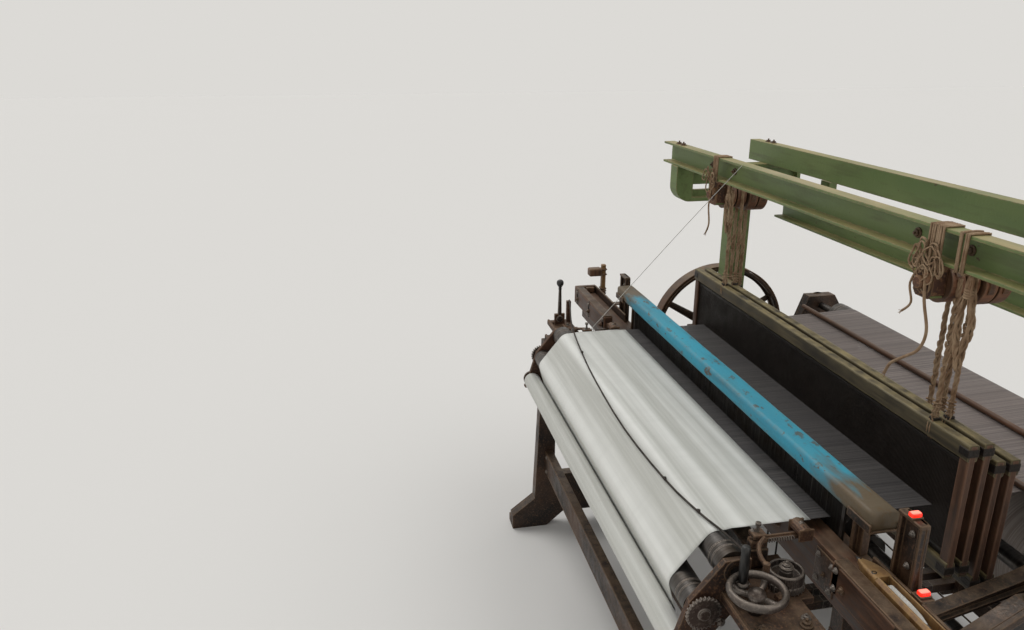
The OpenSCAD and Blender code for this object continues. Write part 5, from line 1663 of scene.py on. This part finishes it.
def makeSleyIron(s):
    bm, front, bore = bmesh.new(), s["front"] - 2.5 * mm, s["shaft"] - 1 * mm
    for x in s["plates"]:
        addBlock(bm, (x - 36 * mm, front, 0.784), (x + 36 * mm, s["front"] + 1 * mm, 0.868), 1.5 * mm)
    inner, outer = s["sword"]
    for side in (-1, 1):
        for y in (-0.367, -0.329):
            addSided(bm, side, (inner - 1 * mm, y, 0.17), (outer + 0.3 * mm, y + 6 * mm, 0.66), 1.5 * mm)
        addSided(bm, side, (inner - 1 * mm, -0.370, 0.752), (outer + 0.3 * mm, -0.320, 0.776), 3 * mm)
        for x in (0.56, 0.80, 0.95):
            a, b = sorted((side * (x - 12 * mm), side * (x + 12 * mm)))
            addRing(bm, [(bore, a), (31 * mm, a), (33 * mm, a + 3 * mm), (33 * mm, b - 3 * mm), (31 * mm, b),
                         (bore, b)],
                    Vector((0, -0.345, 0.120)), sides=32)
    finishPiece("sleyPlates", bm, "iron", "sley")
    spots = [((x + dx * mm, front, z), "-Y") for x in s["plates"] for dx in (-24, 24) for z in (0.797, 0.855)]
    placeBolts("sleyPlateBolts", "sley", "wornIron", 5 * mm, 5 * mm, spots)


makeSleyIron(sleyPiece)


# Rollers: collars at the ends, and a spiral emery strip on the take-up roller
rollerPiece = {"rollers": (("guide_roller", "guide_roller", 0),
                           ("take_up_roller", "take_up_roller", 0.9 * mm),
                           ("back_rest_roller", "back_rest", 0)), "from": -0.636, "run": 1.182,
               "wide": 84 * mm, "turns": 12}


def makeRollerDress(s):
    for node, body, strip in s["rollers"]:
        bm, centre, radius = bmesh.new(), middle(node), halfSize(node, 1)
        centre.x = 0
        for x in (0.655, 0.640, -0.662, -0.647):
            ring = ((radius - 2 * mm, 0), (radius + 0.8 * mm, 1), (radius + 0.8 * mm, 6),
                    (radius - 2 * mm, 7))
            addRing(bm, [(r, x + h * mm) for r, h in ring], centre, sides=40)
        if strip:
            lean = s["wide"], radius - 1 * mm, radius + strip
            addLoft(bm, [[centre + Vector((s["from"] + s["run"] * t + w, r * math.cos(a), r * math.sin(a)))
                          for w, r in ((0, lean[1]), (0, lean[2]), (lean[0], lean[2]), (lean[0], lean[1]))]
                         for t, a in [(t, 2 * math.pi * s["turns"] * t) for t in parts(32 * s["turns"])]])
        finishPiece("rollerDress_" + node, bm, "wornIron", body)


makeRollerDress(rollerPiece)


# Cross rails and breast rail: rolled lips and bolted end plates; treadles: a bowl and four clips
railPiece = {"rails": ("front_cross_rail", "rear_cross_rail", "breast_rail"), "lip": 6 * mm, "plate": 60 * mm,
             "clips": (-0.05, 0.08, 0.32, 0.45)}


def makeRailLips(s):
    bm, spots, plate, lip = bmesh.new(), [], s["plate"], s["lip"]
    for node in s["rails"]:
        low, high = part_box(node)
        front, end = low[1] - 1 * mm, high[0]
        for side in (-1, 1):
            addSided(bm, side, (end - plate, front, low[2] + 3 * mm),
                     (end - 2 * mm, high[1] + 1 * mm, high[2] - 3 * mm))
            spots += [((side * (end - (plate + 2 * mm) / 2), front, z), "-Y")
                      for z in (low[2] + 14 * mm, high[2] - 14 * mm)]
        for z in (low[2] + 1 * mm, high[2] - lip - 1 * mm):
            addBlock(bm, (low[0] + plate, front + 0.1 * mm, z), (end - plate, low[1] + 3 * mm, z + lip),
                     1.2 * mm)
    finishPiece("railLips", bm, "iron", "frame")
    placeBolts("railBolts", "frame", "wornIron", 6 * mm, 4 * mm, spots)
    for x, body in ((-0.030, "treadle_front"), (0.030, "treadle_back")):
        bm = bmesh.new()
        addRing(bm, [(r * mm, x + w * mm)
                     for r, w in ((11, -13), (29, -13), (30.4, -10), (30.4, 10), (29, 13), (11, 13))],
                Vector((0, 0.200, 0.190)), sides=40)
        for y in s["clips"]:
            addBlock(bm, (x - 14.5 * mm, y - 14 * mm, 0.1455), (x + 14.5 * mm, y + 14 * mm, 0.1755), 1 * mm)
        finishPiece("treadleBowl_" + body, bm, "wornIron", body)


makeRailLips(railPiece)


# Starting handle: a tapering blade out of a boss, with a turned knob on a ferrule
handlePiece = {"place": (-0.943, -0.565, 0.840),
               "boss": ((0, -24), (6, -24), (6, -7), (12, -6.5), (13.8, -4), (13.8, 5), (12, 6.5), (0, 6.5)),
               "knob": ((0, 118), (6, 118), (6.5, 126), (5.5, 129), (9, 133), (13.2, 141), (13.9, 146),
                        (13, 152), (9, 157), (4, 159), (0, 159))}


def makeStartingHandle(s):
    bm, knob, place = bmesh.new(), bmesh.new(), Vector(s["place"])
    addLoft(bm, [[place + Vector((a * (5.4 - 1.4 * t) * mm, b * (8 - 3 * t) * mm, 0.124 * t))
                  for a, b in cutCorners(0.6, 0.6)]
                 for t in parts(8)])
    for made, outline, axis in ((bm, s["boss"], "X"), (knob, s["knob"], "Z")):
        addTurned(made, [(r * mm, h * mm) for r, h in outline], place, axis, 32)
    finishPiece("startingBlade", bm, "wornIron", "starting_handle")
    finishPiece("startingKnob", knob, "phenolic", "starting_handle", "starting_handle", smooth=True)


makeStartingHandle(handlePiece)
print("sley, rollers and levers finished")


# Pale floor, world light and two soft suns; the camera sees one pale ground up to the horizon and above it
studioSettings = {"floor": "#dcdad6", "backdrop": "#dcdad6", "world": "#ffffff", "worldStrength": 0.58,
                  "suns": (((-1.4, -0.9, 2.6), 35, 1.1), ((1.2, 1.6, 2.4), 50, 0.5))}


def makeStudio(s):
    bpy.ops.mesh.primitive_plane_add(size=60, location=(0, 0, 0))
    floor = bpy.context.object
    floor.name = "studioFloor"
    material, tree, shader, place = newMaterial("paleFloor")
    mottled = noiseOf(tree, place, 1.5, 3)
    base = blendColours(tree, multiply(tree, mottled, 0.05), colour(s["floor"]), colour("#cfccc7"))
    tree.links.new(base, shader.inputs["Base Color"])
    shader.inputs["Roughness"].default_value = 0.8
    shader.inputs["Specular IOR Level"].default_value = 0.1
    floor.data.materials.append(material)
    world = bpy.data.worlds.new("studioWorld")
    world.use_nodes = True
    scene.world = world
    tree = world.node_tree
    back = tree.nodes["Background"]
    back.inputs["Color"].default_value = colour(s["world"])
    back.inputs["Strength"].default_value = s["worldStrength"]
    seen = addNode(tree, "ShaderNodeBackground", None, Color=colour(s["backdrop"]), Strength=1.0)
    path = addNode(tree, "ShaderNodeLightPath")
    shown = maths(tree, "MAXIMUM", path.outputs["Is Camera Ray"], path.outputs["Is Glossy Ray"])
    both = addNode(tree, "ShaderNodeMixShader", None, Fac=shown, n1=back.outputs[0], n2=seen.outputs[0])
    tree.links.new(both.outputs[0], tree.nodes["World Output"].inputs["Surface"])
    for place, spread, power in s["suns"]:
        data = bpy.data.lights.new("softSun", "SUN")
        data.angle = math.radians(spread)
        data.energy = power
        sun = bpy.data.objects.new("softSun", data)
        sun.rotation_euler = (-Vector(place)).to_track_quat("-Z", "Y").to_euler()
        scene.collection.objects.link(sun)


makeStudio(studioSettings)
scene.view_settings.view_transform = "Standard"
